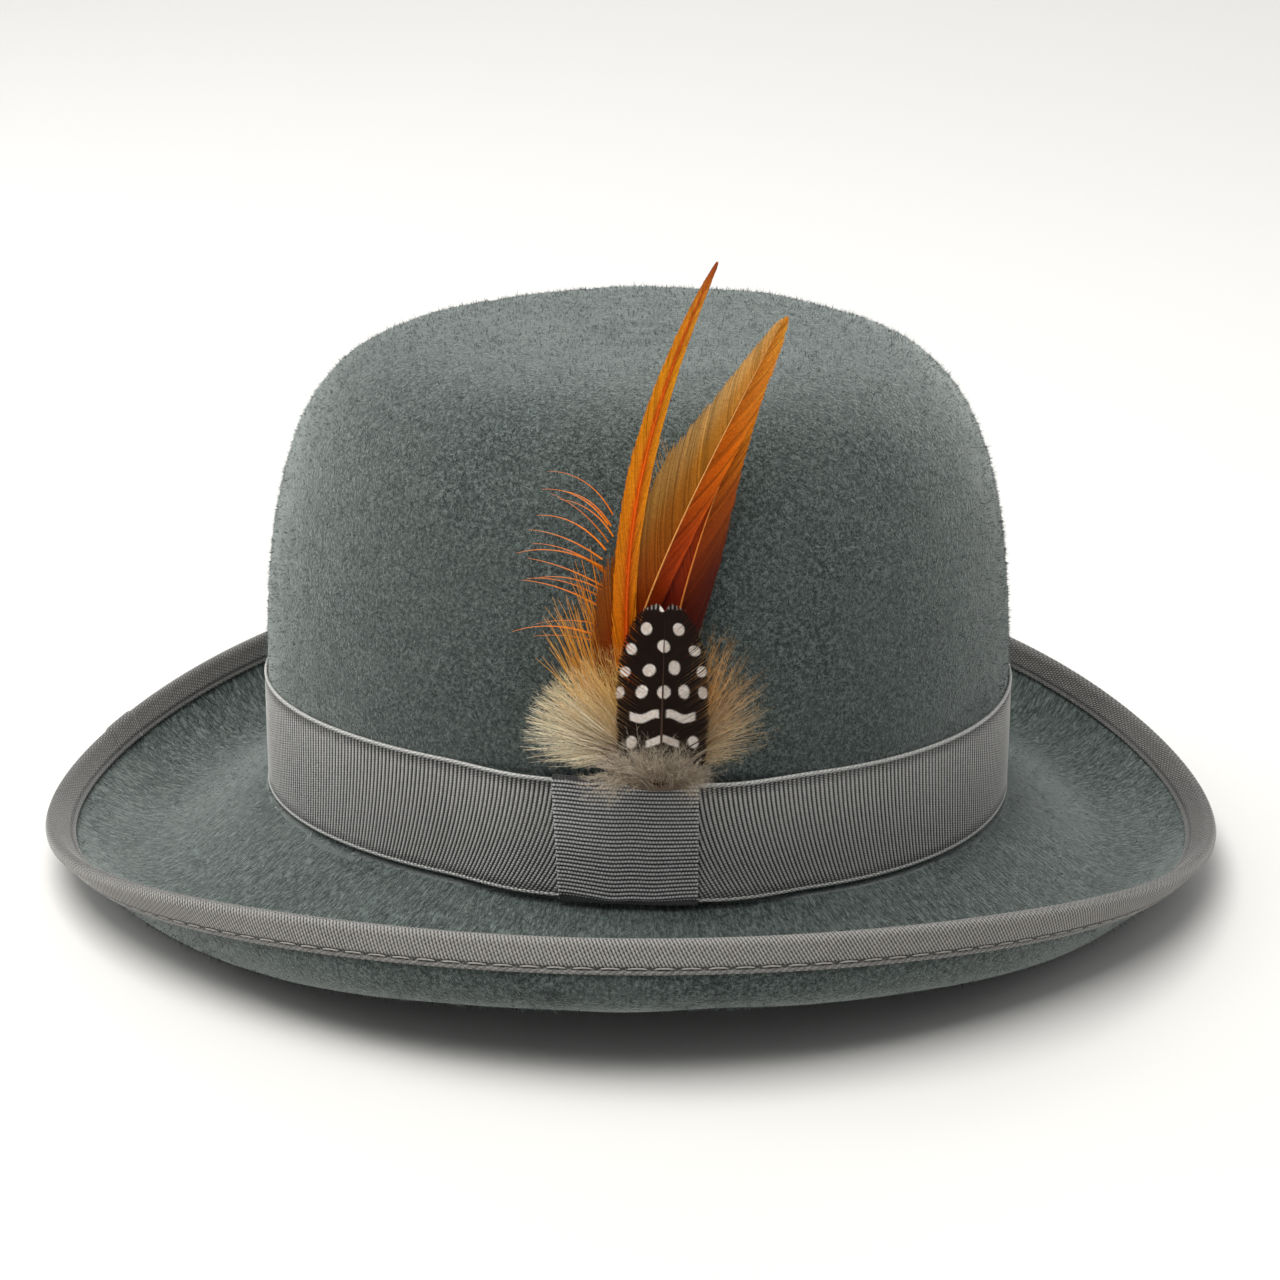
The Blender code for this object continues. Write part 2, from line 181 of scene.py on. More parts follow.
def store(mesh, name, values):
    """Keeps a number, a vector or a colour for each vertex."""
    kind = {1: "FLOAT", 3: "FLOAT_VECTOR", 4: "FLOAT_COLOR"}[1 if values.ndim == 1 else values.shape[1]]
    layer = mesh.attributes.new(name, kind, "POINT")
    part = {"FLOAT": "value", "FLOAT_VECTOR": "vector", "FLOAT_COLOR": "color"}[kind]
    layer.data.foreach_set(part, values.astype(np.float32).ravel())


def placed(name, data):
    """Object of the data, in the scene."""
    made = bpy.data.objects.new(name, data)
    bpy.context.scene.collection.objects.link(made)
    return made


def piece(name, mesh, finish, body="hat", stands_for=()):
    """Object of the mesh that rides on a body and replaces CAD nodes."""
    made = placed(name, mesh)
    mesh.materials.append(finish)
    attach(made, body)
    if stands_for:
        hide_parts(*stands_for)
    return made


# Surfaces of the hat, as in the CAD: angle 0 is the back and heights count from the break


def crown_oval(angle):
    squeeze = 1 - OVAL_PINCH * np.sin(2 * angle) ** 2
    x = CROWN_HALF_LENGTH * np.cos(angle)
    y = CROWN_HALF_WIDTH * np.sin(angle) * (1 + OVAL_EGG * np.cos(angle))
    return np.stack((x * squeeze, y * squeeze, 0 * x), -1)


def oval_outward(angle):
    along = crown_oval(angle + 1e-3) - crown_oval(angle - 1e-3)
    return unit(np.stack((along[..., 1], -along[..., 0], 0 * angle), -1))


def break_rise(angle):
    return SIDE_RISE * np.sin(angle) ** 2


def crown_point(angle, share):
    width = np.maximum(1 - share**CROWN_DOME_POWER, 0) ** (1 / CROWN_WALL_POWER)
    height = mix(break_rise(angle), CROWN_HEIGHT, share)
    return BREAK + crown_oval(angle) * width[..., None] + height[..., None] * UP


def crown_normal(angle, share):
    share = np.clip(share, 0.002, 0.9985)
    round_it = crown_point(angle + 1e-3, share) - crown_point(angle - 1e-3, share)
    up_it = crown_point(angle, share + 1e-3) - crown_point(angle, share - 1e-3)
    return unit(np.cross(round_it, up_it))


def wall_point(angle, above, out):
    """Point beside the crown's wall, at a height above the break and a distance out from the felt."""
    share = np.maximum(above, 0) / (CROWN_HEIGHT - break_rise(angle))
    point = crown_point(angle, share) + oval_outward(angle) * np.asarray(out)[..., None]
    point[..., 2] = BREAK[2] + break_rise(angle) + above
    return point


def left_angle(x):
    return -np.arccos(x / CROWN_HALF_LENGTH)


def rim_point(angle):
    squeeze = 1 - RIM_PINCH * np.sin(2 * angle) ** 2
    half_length = CROWN_HALF_LENGTH + (BRIM_BACK_REACH + BRIM_FRONT_REACH) / 2
    shift = (BRIM_BACK_REACH - BRIM_FRONT_REACH) / 2
    x = half_length * np.cos(angle) + shift * np.cos(angle) ** 2
    y = (CROWN_HALF_WIDTH + BRIM_SIDE_REACH) * np.sin(angle)
    climb = np.sin(angle) ** 2 * (1 + RIM_CURVE * np.cos(angle) ** 2)
    return BREAK + np.stack((x * squeeze, y * squeeze, mix(RIM_TIP_RISE, RIM_SIDE_RISE, climb)), -1)


def brim_point(angle, share):
    angle, share = np.broadcast_arrays(angle, share)
    start, end = crown_point(angle, 0 * share), rim_point(angle)
    chord = np.linalg.norm(end - start, axis=-1, keepdims=True)
    outward = unit((end - start) * (1, 1, 0))
    side = np.sin(angle) ** 2
    dip, roll = (mix(*pair, side)[..., None] for pair in ((TIP_DIP, SIDE_DIP), (TIP_ROLL, SIDE_ROLL)))
    first = start + (outward * np.cos(dip) - UP * np.sin(dip)) * chord * DIP_PULL
    second = end - (outward * np.cos(roll) + UP * np.sin(roll)) * chord * ROLL_PULL
    share = share[..., None]
    back = 1 - share
    return start * back**3 + first * 3 * back**2 * share + second * 3 * back * share**2 + end * share**3


def brim_frame(angle, share):
    """The brim's upward normal and its direction towards the rim."""
    share = np.minimum(share, 0.999)
    round_it = brim_point(angle + 1e-3, share) - brim_point(angle - 1e-3, share)
    outward = unit(brim_point(angle, share + 1e-3) - brim_point(angle, share - 1e-3))
    return unit(np.cross(outward, round_it)), outward


def bound_share(angle):
    """Share of the brim's section at the binding's inner edge."""
    length = np.linalg.norm(brim_point(angle, 1.0) - brim_point(angle, 0.9), axis=-1) / 0.1
    return 1 - BINDING_WIDTH / length


def even_angles(line, count):
    """Angles of count points evenly spaced along a closed line round the hat, and its length."""
    angle = np.linspace(0, 2 * np.pi, 4001)
    length = run(line(angle))
    return np.interp(np.linspace(0, length[-1], count, endpoint=False), length, angle), length[-1]


# Materials


class Nodes:
    """Short calls that build a material's node tree."""

    def __init__(self, name):
        self.material = bpy.data.materials.new(name)
        self.material.use_nodes = True
        self.tree = self.material.node_tree
        self.shader = self.tree.nodes["Principled BSDF"]

    def node(self, kind, inputs=None, **settings):
        made = self.tree.nodes.new("ShaderNode" + kind)
        for key, value in settings.items():
            setattr(made, key, value)
        for key, value in (inputs or {}).items():
            self.put(made.inputs[key], value)
        return made

    def put(self, socket, value):
        if isinstance(value, bpy.types.NodeSocket):
            self.tree.links.new(value, socket)
        else:
            socket.default_value = value

    def shade(self, **values):
        for key, value in values.items():
            self.put(self.shader.inputs[key.replace("_", " ")], value)

    def attribute(self, name, output="Fac"):
        return self.node("Attribute", attribute_name=name).outputs[output]

    def place(self):
        return self.node("TexCoord").outputs["Object"]

    def noise(self, vector, size, detail=2.0, roughness=0.5):
        """Noise with features about size across, in metres."""
        inputs = {"Vector": vector, "Scale": 1 / size, "Detail": detail, "Roughness": roughness}
        return self.node("TexNoise", inputs).outputs["Fac"]

    def math(self, operation, a, b=0.0, clamp=False):
        made = self.node("Math", operation=operation, use_clamp=clamp)
        self.put(made.inputs[0], a)
        self.put(made.inputs[1], b)
        return made.outputs[0]

    def span(self, value, low, high, to_low=0.0, to_high=1.0):
        names = ("Value", "From Min", "From Max", "To Min", "To Max")
        return self.node("MapRange", dict(zip(names, (value, low, high, to_low, to_high)))).outputs[0]

    def blend(self, share, a, b):
        made = self.node("Mix", data_type="RGBA")
        self.put(made.inputs[0], share)
        for socket, colour in ((made.inputs[6], a), (made.inputs[7], b)):
            self.put(socket, colour if isinstance(colour, bpy.types.NodeSocket) else (*colour, 1))
        return made.outputs[2]

    def bump(self, height, distance, strength=1.0):
        inputs = {"Height": height, "Distance": distance, "Strength": strength}
        return self.node("Bump", inputs).outputs["Normal"]


FELT_DARK = (0.012, 0.017, 0.016)
FELT_MIDDLE = (0.058, 0.075, 0.070)
FELT_LIGHT = (0.150, 0.180, 0.170)


def felt_material():
    """Brushed wool felt: mottled nap, combed outwards on the brim."""
    n = Nodes("wool_felt")
    nap = n.attribute("nap_place", "Vector")
    tufts = n.noise(nap, 0.0010, 3, 0.65)
    grain = n.noise(nap, 0.0004, 2, 0.6)
    patches = n.noise(n.place(), 0.020, 2, 0.5)
    tone = n.math("ADD", n.math("MULTIPLY", tufts, 0.6), n.math("MULTIPLY", grain, 0.4))
    deep = n.blend(n.span(tone, 0.40, 0.51), FELT_DARK, FELT_MIDDLE)
    colour = n.blend(n.span(tone, 0.51, 0.62), deep, FELT_LIGHT)
    colour = n.blend(n.span(patches, 0.35, 0.75, 0, 0.25), colour, (0.085, 0.105, 0.095))
    n.shade(Base_Color=colour, Roughness=1.0, Specular_IOR_Level=0.15)
    n.shade(Sheen_Weight=0.85, Sheen_Roughness=0.45, Sheen_Tint=(0.82, 0.87, 0.84, 1))
    n.shade(Normal=n.bump(tone, 0.0009, 0.8))
    return n.material


def nap_material():
    """Single wool fibres, each with its own tone, darker at the root and lighter towards the tip as painted
    shade and light.
    """
    n = Nodes("wool_nap")
    tone = n.attribute("tone")
    fine = n.noise(n.place(), 0.0007, 1)
    tone = n.math("ADD", tone, n.span(fine, 0.3, 0.7, -0.08, 0.08))
    deep = n.blend(n.span(tone, 0.05, 0.5), FELT_DARK, FELT_MIDDLE)
    n.shade(Base_Color=n.blend(n.span(tone, 0.5, 1.0), deep, (0.255, 0.300, 0.285)), Roughness=0.9)
    n.shade(Specular_IOR_Level=0.2, Sheen_Weight=0.5, Sheen_Roughness=0.45)
    n.shade(Sheen_Tint=(0.8, 0.88, 0.86, 1))
    return n.material


def ribbon_material(name, dark, light, picks):
    """Grosgrain: ribs in the mesh, and here the fine warp threads that run over them, with the ribs' shade
    and light also painted into the colour.
    """
    n = Nodes(name)
    rib = n.attribute("rib")
    warp = n.attribute("warp")
    threads = n.math("SINE", n.math("MULTIPLY", warp, 2 * math.pi))
    slub = n.noise(n.place(), 0.0009, 2)
    lit = n.math("ADD", rib, n.math("MULTIPLY", threads, picks))
    lit = n.math("ADD", lit, n.span(slub, 0.3, 0.7, -0.10, 0.10))
    fade = n.noise(n.place(), 0.025, 2)
    # The colour runs from dark in the grooves to light on the rib tops: painted shade and painted highlight
    colour = n.blend(n.span(lit, 0.20, 1.05), dark, light)
    colour = n.blend(n.span(fade, 0.3, 0.7, 0, 0.12), colour, tuple(c * 0.7 for c in light))
    n.shade(Base_Color=colour, Roughness=n.span(slub, 0.3, 0.7, 0.55, 0.75))
    n.shade(Sheen_Weight=0.55, Sheen_Roughness=0.4, Sheen_Tint=(0.9, 0.9, 0.88, 1))
    n.shade(Normal=n.bump(n.math("ADD", n.math("MULTIPLY", threads, 0.5), slub), 0.00012, 0.8))
    return n.material


# Camera, lights and floor


def camera():
    """Long lens in front of the plume, a little above the hat."""
    data = bpy.data.cameras.new("camera")
    data.sensor_width = 36
    data.lens = 81.85
    data.clip_start = 0.01
    distance, elevation = 0.8, math.radians(21.25)
    yaw, roll = math.radians(0.42), math.radians(-0.21)
    centre = (0.0008, -distance * math.cos(elevation), 0.0597 + distance * math.sin(elevation))
    made = placed("camera", data)
    turned = Matrix.Rotation(yaw, 4, "Z") @ Matrix.Rotation(roll, 4, "Y")
    aimed = Matrix.Translation(centre) @ Matrix.Rotation(math.pi / 2 - elevation, 4, "X")
    made.matrix_world = Matrix.Translation((BREAK[0], 0, 0.0013)) @ turned @ aimed
    bpy.context.scene.camera = made


LIT_HEIGHT = 0.07  # height that the lights face


def softbox(name, place, size, power, colour=(1, 1, 1)):
    """Area light that faces the hat."""
    data = bpy.data.lights.new(name, "AREA")
    data.shape = "RECTANGLE"
    data.size, data.size_y = size
    data.energy = power
    data.color = colour
    made = placed(name, data)
    made.location = place
    aim = Vector((0, 0, LIT_HEIGHT)) - made.location
    made.rotation_euler = aim.to_track_quat("-Z", "Y").to_euler()


FLOOR_HALF = 4.0


def studio():
    """Pale floor under soft light from overhead, both sides and behind; the camera's side is dimmer."""
    world = bpy.data.worlds.new("studio")
    world.use_nodes = True
    tree = world.node_tree
    background = tree.nodes["Background"]
    background.inputs["Color"].default_value = (0.96, 0.98, 1.0, 1)
    direction = tree.nodes.new("ShaderNodeSeparateXYZ")
    tree.links.new(tree.nodes.new("ShaderNodeTexCoord").outputs["Generated"], direction.inputs[0])
    fade = tree.nodes.new("ShaderNodeMapRange")
    for key, value in {"From Min": -0.8, "From Max": 0.7, "To Min": 0.24, "To Max": 0.56}.items():
        fade.inputs[key].default_value = value
    tree.links.new(direction.outputs["Y"], fade.inputs["Value"])
    tree.links.new(fade.outputs[0], background.inputs["Strength"])
    bpy.context.scene.world = world
    bpy.context.scene.view_settings.view_transform = "Standard"
    softbox("overhead", (-0.36, -0.22, 1.45), (1.5, 1.0), 27, (1.0, 0.992, 0.965))
    softbox("left_side", (-1.4, 0.35, 0.8), (1.0, 1.0), 6.5)
    softbox("right_side", (1.4, 0.45, 0.8), (1.0, 1.0), 2.5)
    softbox("far_floor", (0, 2.2, 1.3), (3.0, 0.8), 22)
    points = np.array([(-1, -1, 0), (1, -1, 0), (1, 1, 0), (-1, 1, 0)], float) * FLOOR_HALF
    floor = placed("floor", mesh_of("floor", points, np.array([[0, 1, 2, 3]])))
    n = Nodes("floor")
    stain = n.noise(n.place(), 0.6, 2)
    n.shade(Base_Color=n.blend(stain, (0.715, 0.70, 0.68), (0.73, 0.715, 0.695)), Roughness=0.8)
    floor.data.materials.append(n.material)


# Felt


def meridian_shares(count, last):
    """Shares of the crown's height from 0 to last, evenly spaced along its section."""
    share = 1 - (1 - np.linspace(0, 1, 4001)) ** 3
    share = share[share <= last]
    length = run(crown_point(0 * share, share))
    return np.interp(np.linspace(0, length[-1], count), length, share)


def unevenness(points, size, depth):
    """Small rise and fall of hand-blocked felt."""
    return (noise(points, size) - 0.5)[..., None] * depth


FELT_COLUMNS = 400


def felt_body():
    angle = 2 * np.pi * np.arange(FELT_COLUMNS) / FELT_COLUMNS
    a = angle[None, :]

    def crown_rows(shares, depth):
        s = shares[:, None] + 0 * a
        face, normal = crown_point(a + 0 * s, s), crown_normal(a + 0 * s, s)
        free = ease((s * CROWN_HEIGHT - BAND_TOP - 0.004) / 0.015)[..., None]
        return face + normal * (unevenness(face, 0.018, 0.0007) * free - depth)

    def brim_rows(shares, depth):
        s = shares[:, None] + 0 * a
        face, (normal, _) = brim_point(a + 0 * s, s), brim_frame(a + 0 * s, s)
        free = (ease(s / 0.15) * ease((bound_share(a) - s) / 0.15))[..., None]
        return face + normal * (unevenness(face, 0.022, 0.0008) * free - depth)

    rim_normal, rim_out = brim_frame(angle, 0 * angle + 0.999)
    turn = np.linspace(0, np.pi, 6)[1:-1, None, None]
    middle = brim_point(angle, 0 * angle + 1.0) - rim_normal * FELT / 2
    edge = middle + (rim_normal * np.cos(turn) + rim_out * np.sin(turn) * 0.6) * FELT / 2
    outside = meridian_shares(90, 0.99995)[::-1]
    inside = meridian_shares(50, 0.9996)[1:]
    under = np.linspace(1, 0.035, 32)
    parts = [
        crown_rows(outside, 0),
        brim_rows(np.linspace(0, 1, 52)[1:], 0),
        edge,
        brim_rows(under, FELT),
        crown_rows(inside, FELT),
    ]
    rows = np.concatenate(parts)
    faces = grid_faces(len(rows), FELT_COLUMNS, False, True)
    points = rows.reshape(-1, 3)
    top, bottom = len(points), len(points) + 1
    points = np.concatenate((points, [BREAK + CROWN_HEIGHT * UP, BREAK + (CROWN_HEIGHT - FELT) * UP]))
    columns = np.arange(FELT_COLUMNS)
    beside = (columns + 1) % FELT_COLUMNS
    last = (len(rows) - 1) * FELT_COLUMNS
    # Each pole is closed with thin quads, so that every face has four corners
    cap = np.stack((np.full(FELT_COLUMNS, top), columns, beside), -1)[::2]
    cap = np.concatenate((cap, np.stack((beside, (beside + 1) % FELT_COLUMNS), -1)[::2, 1:]), axis=1)
    floor_cap = np.stack((np.full(FELT_COLUMNS, bottom), last + (beside + 1) % FELT_COLUMNS), -1)[::2]
    floor_cap = np.concatenate((floor_cap, (last + beside)[::2, None], (last + columns)[::2, None]), axis=1)
    mesh = mesh_of("felt_body", points, np.concatenate((faces, cap, floor_cap)))
    upper_rows = len(outside) + 51
    store(mesh, "nap_place", nap_places(points, np.arange(len(points)) < upper_rows * FELT_COLUMNS))
    piece("felt_body", mesh, felt_material(), stands_for=["felt_shell"])


def nap_places(points, above):
    """Coordinates for the felt's pattern, which draw it out along the brim's radius."""
    flat = (points - BREAK) * (1, 1, 0)
    radius = np.linalg.norm(flat, axis=1, keepdims=True)
    round_it = unit(flat) * 0.13
    brim = radius[:, 0] > 0.001 + np.linalg.norm(
        crown_oval(np.arctan2(flat[:, 1] / CROWN_HALF_WIDTH, flat[:, 0] / CROWN_HALF_LENGTH)), axis=1
    )
    combed = round_it + radius * 0.45 * UP
    return np.where((brim & above)[:, None], combed, points)


def scatter(surface, count, low, high, thin):
    """Random places on a surface of angle and share, spread by area and thinned by thin(points)."""
    angle = np.linspace(0, 2 * np.pi, 181)
    share = np.linspace(low, high, 121)
    grid = surface(*np.meshgrid(angle, share))
    across = np.linalg.norm(np.cross(grid[1:, :-1] - grid[:-1, :-1], grid[:-1, 1:] - grid[:-1, :-1]), axis=-1)
    cell = rng.choice(across.size, size=count * 3, p=across.ravel() / across.sum())
    i, j = np.unravel_index(cell, across.shape)
    a = angle[j] + rng.random(len(cell)) * (angle[1] - angle[0])
    s = share[i] + rng.random(len(cell)) * (share[1] - share[0])
    keep = rng.random(len(cell)) < thin(surface(a, s))
    return a[keep][:count], s[keep][:count]


def nap(name, points, normals, combed, wander, length, lift, mottle):
    """Wool fibres, each one tapered triangle that lies nearly flat on the felt."""
    count = len(points)
    swirl = (noise(points, 0.0025) - 0.5) * wander + rng.normal(0, wander * 0.35, count)
    along = unit(combed - normals * (combed * normals).sum(-1, keepdims=True))
    beside = np.cross(normals, along)
    heading = along * np.cos(swirl)[:, None] + beside * np.sin(swirl)[:, None]
    stray = (rng.random(count) < 0.05)[:, None]
    raised = rng.gamma(2.0, lift / 2, count)[:, None] + stray * 0.6
    reach = (length * rng.uniform(0.6, 1.4, count))[:, None] * (1 + 0.5 * stray)
    sideways = np.cross(normals, heading) * rng.uniform(0.00004, 0.00009, count)[:, None]
    root = points - normals * 0.00005
    tip = root + (heading * np.cos(raised) + normals * np.sin(raised)) * reach
    corners = np.stack((root - sideways, root + sideways, tip), 1).reshape(-1, 3)
    mesh = mesh_of(name, corners, np.arange(3 * count).reshape(-1, 3), smooth=False)
    tuft = mix(noise(points, 0.0012), noise(points[:, [1, 2, 0]], 0.0007), 0.4)
    tone = np.clip(0.42 + mottle * (tuft - 0.5) + rng.normal(0, 0.34, count), 0, 1)
    # Painted shade at each fibre's two root corners and painted light at its tip
    store(mesh, "tone", (tone[:, None] + np.array([-0.25, -0.25, 0.15])).ravel())
    return mesh


def felt_nap():
    """Brushed fibres over the crown, the brim and its underside."""
    finish = nap_material()
    count = 190000

    def tufted(points):
        return np.clip((noise(points, 0.0012) - 0.30) * 2.4, 0.08, 1)

    # Shares of the height crowd together near the flat top, so the fibres are spread by their fourth root
    low = 1 - (1 - (BAND_TOP - 0.002) / CROWN_HEIGHT) ** 0.25
    a, t = scatter(lambda angle, t: crown_point(angle, 1 - (1 - t) ** 4), count, low, 0.995, tufted)
    s = 1 - (1 - t) ** 4
    normals = crown_normal(a, s)
    points = crown_point(a, s) + normals * unevenness(crown_point(a, s), 0.018, 0.0007)
    drift = np.stack([noise(points[:, order], 0.03) for order in ([0, 1, 2], [1, 2, 0], [2, 0, 1])], -1)
    mesh = nap("crown_nap", points, normals, drift - 0.5, 4.5, 0.0012, 0.40, 2.9)
    piece("crown_nap", mesh, finish)

    a, s = scatter(brim_point, count * 2 // 3, 0.0, 1.0, tufted)
    keep = s < bound_share(a)
    a, s = a[keep], s[keep]
    normals, outward = brim_frame(a, s)
    points = brim_point(a, s) + normals * unevenness(brim_point(a, s), 0.022, 0.0008) * 0.9
    mesh = nap("brim_nap", points, normals, outward, 1.3, 0.0010, 0.25, 0.5)
    piece("brim_nap", mesh, finish)

    a, s = scatter(brim_point, count * 2 // 3, 0.03, 1.0, tufted)
    keep = s < bound_share(a)
    a, s = a[keep], s[keep]
    normals, outward = brim_frame(a, s)
    points = brim_point(a, s) - normals * FELT
    drift = noise(points[:, [1, 2, 0]], 0.02)[:, None] * outward + np.cross(normals, outward) * 1.2
    mesh = nap("underbrim_nap", points, -normals, drift, 2.8, 0.0012, 0.3, 1.3)
    piece("underbrim_nap", mesh, finish)


# Ribbon trims


def rib_wave(phase):
    """Height from 0 to 1 across a rib, round on top with a narrow groove."""
    return np.abs(np.sin(np.pi * phase)) ** 1.1


BAND_RIB = 0.0012
RIB_DEPTH = 0.00026
LEAN_NEAR_KEEPER = 0.40  # slope of the band's ribs beside the keeper
LEAN_FADES = 0.075


def band_out(angle):
    left, right = left_angle(KEEPER_RIGHT - KEEPER_TOP_WIDTH), left_angle(KEEPER_RIGHT)
    turned = signed(angle)
    past = np.maximum(np.maximum(left - turned, turned - right), 0) * CROWN_HALF_LENGTH
    return mix(GAP, BAND_IN_KEEPER_OUT, ease(1 - (past - BAND_CLEAR) / BAND_EASE))


def hat_band():
    _, length = even_angles(lambda a: wall_point(a, BAND_WIDTH / 2 + 0 * a, band_out(a)), 10)
    ribs = round(length / BAND_RIB)
    columns = ribs * 6
    angle, _ = even_angles(lambda a: wall_point(a, BAND_WIDTH / 2 + 0 * a, band_out(a)), columns)
    edge = 0.0011
    share = np.concatenate((np.linspace(0, edge, 6), np.linspace(edge, BAND_WIDTH - edge, 12)[1:-1],
                            np.linspace(BAND_WIDTH - edge, BAND_WIDTH, 6)))
    above = BAND_TOP - share
    middle_angle = left_angle(KEEPER_RIGHT - KEEPER_TOP_WIDTH / 2)
    beside = signed(angle - middle_angle) * CROWN_HALF_LENGTH
    slope = LEAN_NEAR_KEEPER * np.sign(beside) * ease(np.abs(beside) / 0.012)
    slope = slope * np.exp(-((beside / LEAN_FADES) ** 2))
    bend = mix(0.55, 1.3, share / BAND_WIDTH)[:, None]
    shift = slope[None, :] * (share - BAND_WIDTH / 2)[:, None] * bend
    leaned = angle[None, :] + shift / CROWN_HALF_LENGTH
    phase = np.arange(columns)[None, :] / 6 + 0 * leaned
    from_edge = np.minimum(share, BAND_WIDTH - share)[:, None]
    in_selvedge = window(from_edge, -1, edge * 0.8, edge * 0.3)
    twist = phase + from_edge / edge * 0.9 + np.where(share > BAND_WIDTH / 2, 0.5, 0)[:, None]
    cord = np.sqrt(np.clip(1 - ((from_edge / edge - 0.45) / 0.55) ** 2, 0, 1))
    rib = mix(rib_wave(phase), rib_wave(twist), in_selvedge)
    height = mix(rib * RIB_DEPTH, cord * (0.00034 + rib * 0.00020) - 0.00008, in_selvedge)
    out = band_out(leaned) + RIBBON - RIB_DEPTH + height
    above = above[:, None] + 0 * leaned
    outer = wall_point(leaned, above, out)
    inner_rows = [len(share) - 1, len(share) // 2, 0]
    inner = wall_point(leaned[inner_rows], above[inner_rows], band_out(leaned[inner_rows]))
    points = np.concatenate((outer, inner))
    mesh = closed_mesh("hat_band_ribbon", points)
    # Painted shade and highlight: darker in the grooves, lighter on the rib tops, and darker still just
    # inside the selvedge cords
    under_cord = window(from_edge, edge * 0.95, edge * 1.3, edge * 0.3)
    light = mix(rib * 1.25 - 0.18, 0.55 + 0.6 * rib, in_selvedge) * (1 - 0.75 * under_cord)
    light = np.concatenate((light, 0.4 + 0 * inner[..., 0]))
    store(mesh, "rib", light.ravel())
    phase_shift = 0.5 * np.floor(np.arange(columns) / 6) + 0 * points[..., 0]
    threads = np.concatenate((share, share[inner_rows]))[:, None] / 0.0007 + phase_shift
    store(mesh, "warp", threads.ravel())
    finish = ribbon_material("band_grosgrain", (0.005, 0.005, 0.005), (0.58, 0.57, 0.55), 0.20)
    made = piece("hat_band_ribbon", mesh, finish, stands_for=["hat_band"])


KEEPER_RIB = 0.00105
KEEPER_RIB_DEPTH = 0.00024
KEEPER_WARP = 0.0008  # pitch of the warp threads


def band_keeper():
    """Ribbon folded down over the band, with its ribs across and its ends tucked behind the band."""
    near, far = BAND_IN_KEEPER_OUT - GAP, BAND_IN_KEEPER_OUT + RIBBON + GAP
    top, bottom = BAND_TOP + GAP, BAND_LIFT - GAP
    per_rib, columns = 6, 181
    tall = top - bottom
    front = round(tall / KEEPER_RIB) * per_rib
    heights = np.linspace(top, bottom, front)
    fold = np.linspace(0, np.pi, 9)[1:-1]
    reach = (far - near + RIBBON) / 2
    rows = [(far + RIBBON, h) for h in heights]
    rows += [(mix(near, far, 0.5) + np.cos(t) * reach, bottom - np.sin(t) * RIBBON) for t in fold]
    rows += [(near - RIBBON, h) for h in np.linspace(bottom, top, 20)]
    rows += [(mix(near, far, 0.5) - np.cos(t) * reach, top + np.sin(t) * RIBBON) for t in fold]
    rows = np.array(rows)
    out, above = rows[:, 0][:, None], rows[:, 1][:, None]
    across = np.linspace(0, 1, columns)[None, :]
    width = mix(KEEPER_BOTTOM_WIDTH, KEEPER_TOP_WIDTH, np.clip((above - bottom) / tall, 0, 1))
    x = KEEPER_RIGHT - width * (1 - across)
    down = np.linspace(0, 1, front)
    sag = np.zeros(len(rows))
    sag[:front] = down**2 * (1 - ease((down - 0.93) / 0.07)) * 0.0011
    dip = sag[:, None] * np.sin(np.pi * across) ** 2
    ripple = np.stack((x, 0 * x + above * 0.3, 0 * x), -1)
    in_front = (np.arange(len(rows)) < front)[:, None]
    dip = dip + (noise(ripple, 0.006) - 0.5) * 0.0007 * in_front * np.sin(np.pi * across)
    phase = np.zeros(len(rows))
    phase[:front] = np.arange(front) / per_rib
    flat = np.ones(len(rows))
    flat[:front] = window(down, -1, 0.955, 0.02)
    flat[front:] = 0
    edge = np.minimum(across, 1 - across) * KEEPER_TOP_WIDTH
    ribbed = rib_wave(phase)[:, None] * flat[:, None]
    height = ribbed * KEEPER_RIB_DEPTH + 0.00008 * window(edge, -1, 0.0007, 0.0004)
    puff = np.zeros(len(rows))
    puff[:front] = np.sin(np.pi * down) * 0.0004
    height = height + puff[:, None] * np.sin(np.pi * across) ** 0.5 - KEEPER_RIB_DEPTH
    height[len(rows) - 27:-7] = 0
    points = wall_point(left_angle(x), above - dip, out + height)
    towards = np.sign(rows[:, 0] - mix(near, far, 0.5))[:, None]
    lift = np.zeros((len(rows), 1))
    lift[front:front + 7] = RIBBON
    lift[-7:] = -RIBBON
    inner = wall_point(left_angle(x), above + lift * 0.9, out - towards * RIBBON * 0.95)
    shape = np.concatenate((points, inner[:, ::-1]), axis=1)
    mesh = closed_mesh("keeper_ribbon", shape)
    # Painted shade and highlight: dark in the grooves, light on the rib tops, and lighter still along the
    # raised edges
    light = np.concatenate((mix(-0.35, 1.02, ribbed) + 0 * across, 0.3 + 0 * x), axis=1)
    light[:, :columns] += 0.25 * window(edge, -1, 0.0006, 0.0003) * (0.5 + 0.5 * ribbed)
    store(mesh, "rib", light.ravel())
    threads = np.concatenate((across, across), axis=1) * KEEPER_TOP_WIDTH / KEEPER_WARP
    threads = threads + 0.5 * np.floor(phase)[:, None] + 0 * shape[..., 0]
    store(mesh, "warp", threads.ravel())
    finish = ribbon_material("keeper_grosgrain", (0.001, 0.001, 0.002), (0.66, 0.65, 0.64), 0.30)
    made = piece("keeper_ribbon", mesh, finish, stands_for=["band_keeper"])


BINDING_RIB = 0.0009
BINDING_RIB_DEPTH = 0.00016
BINDING_SLANT = 0.55
JOIN_ANGLE = math.radians(158)


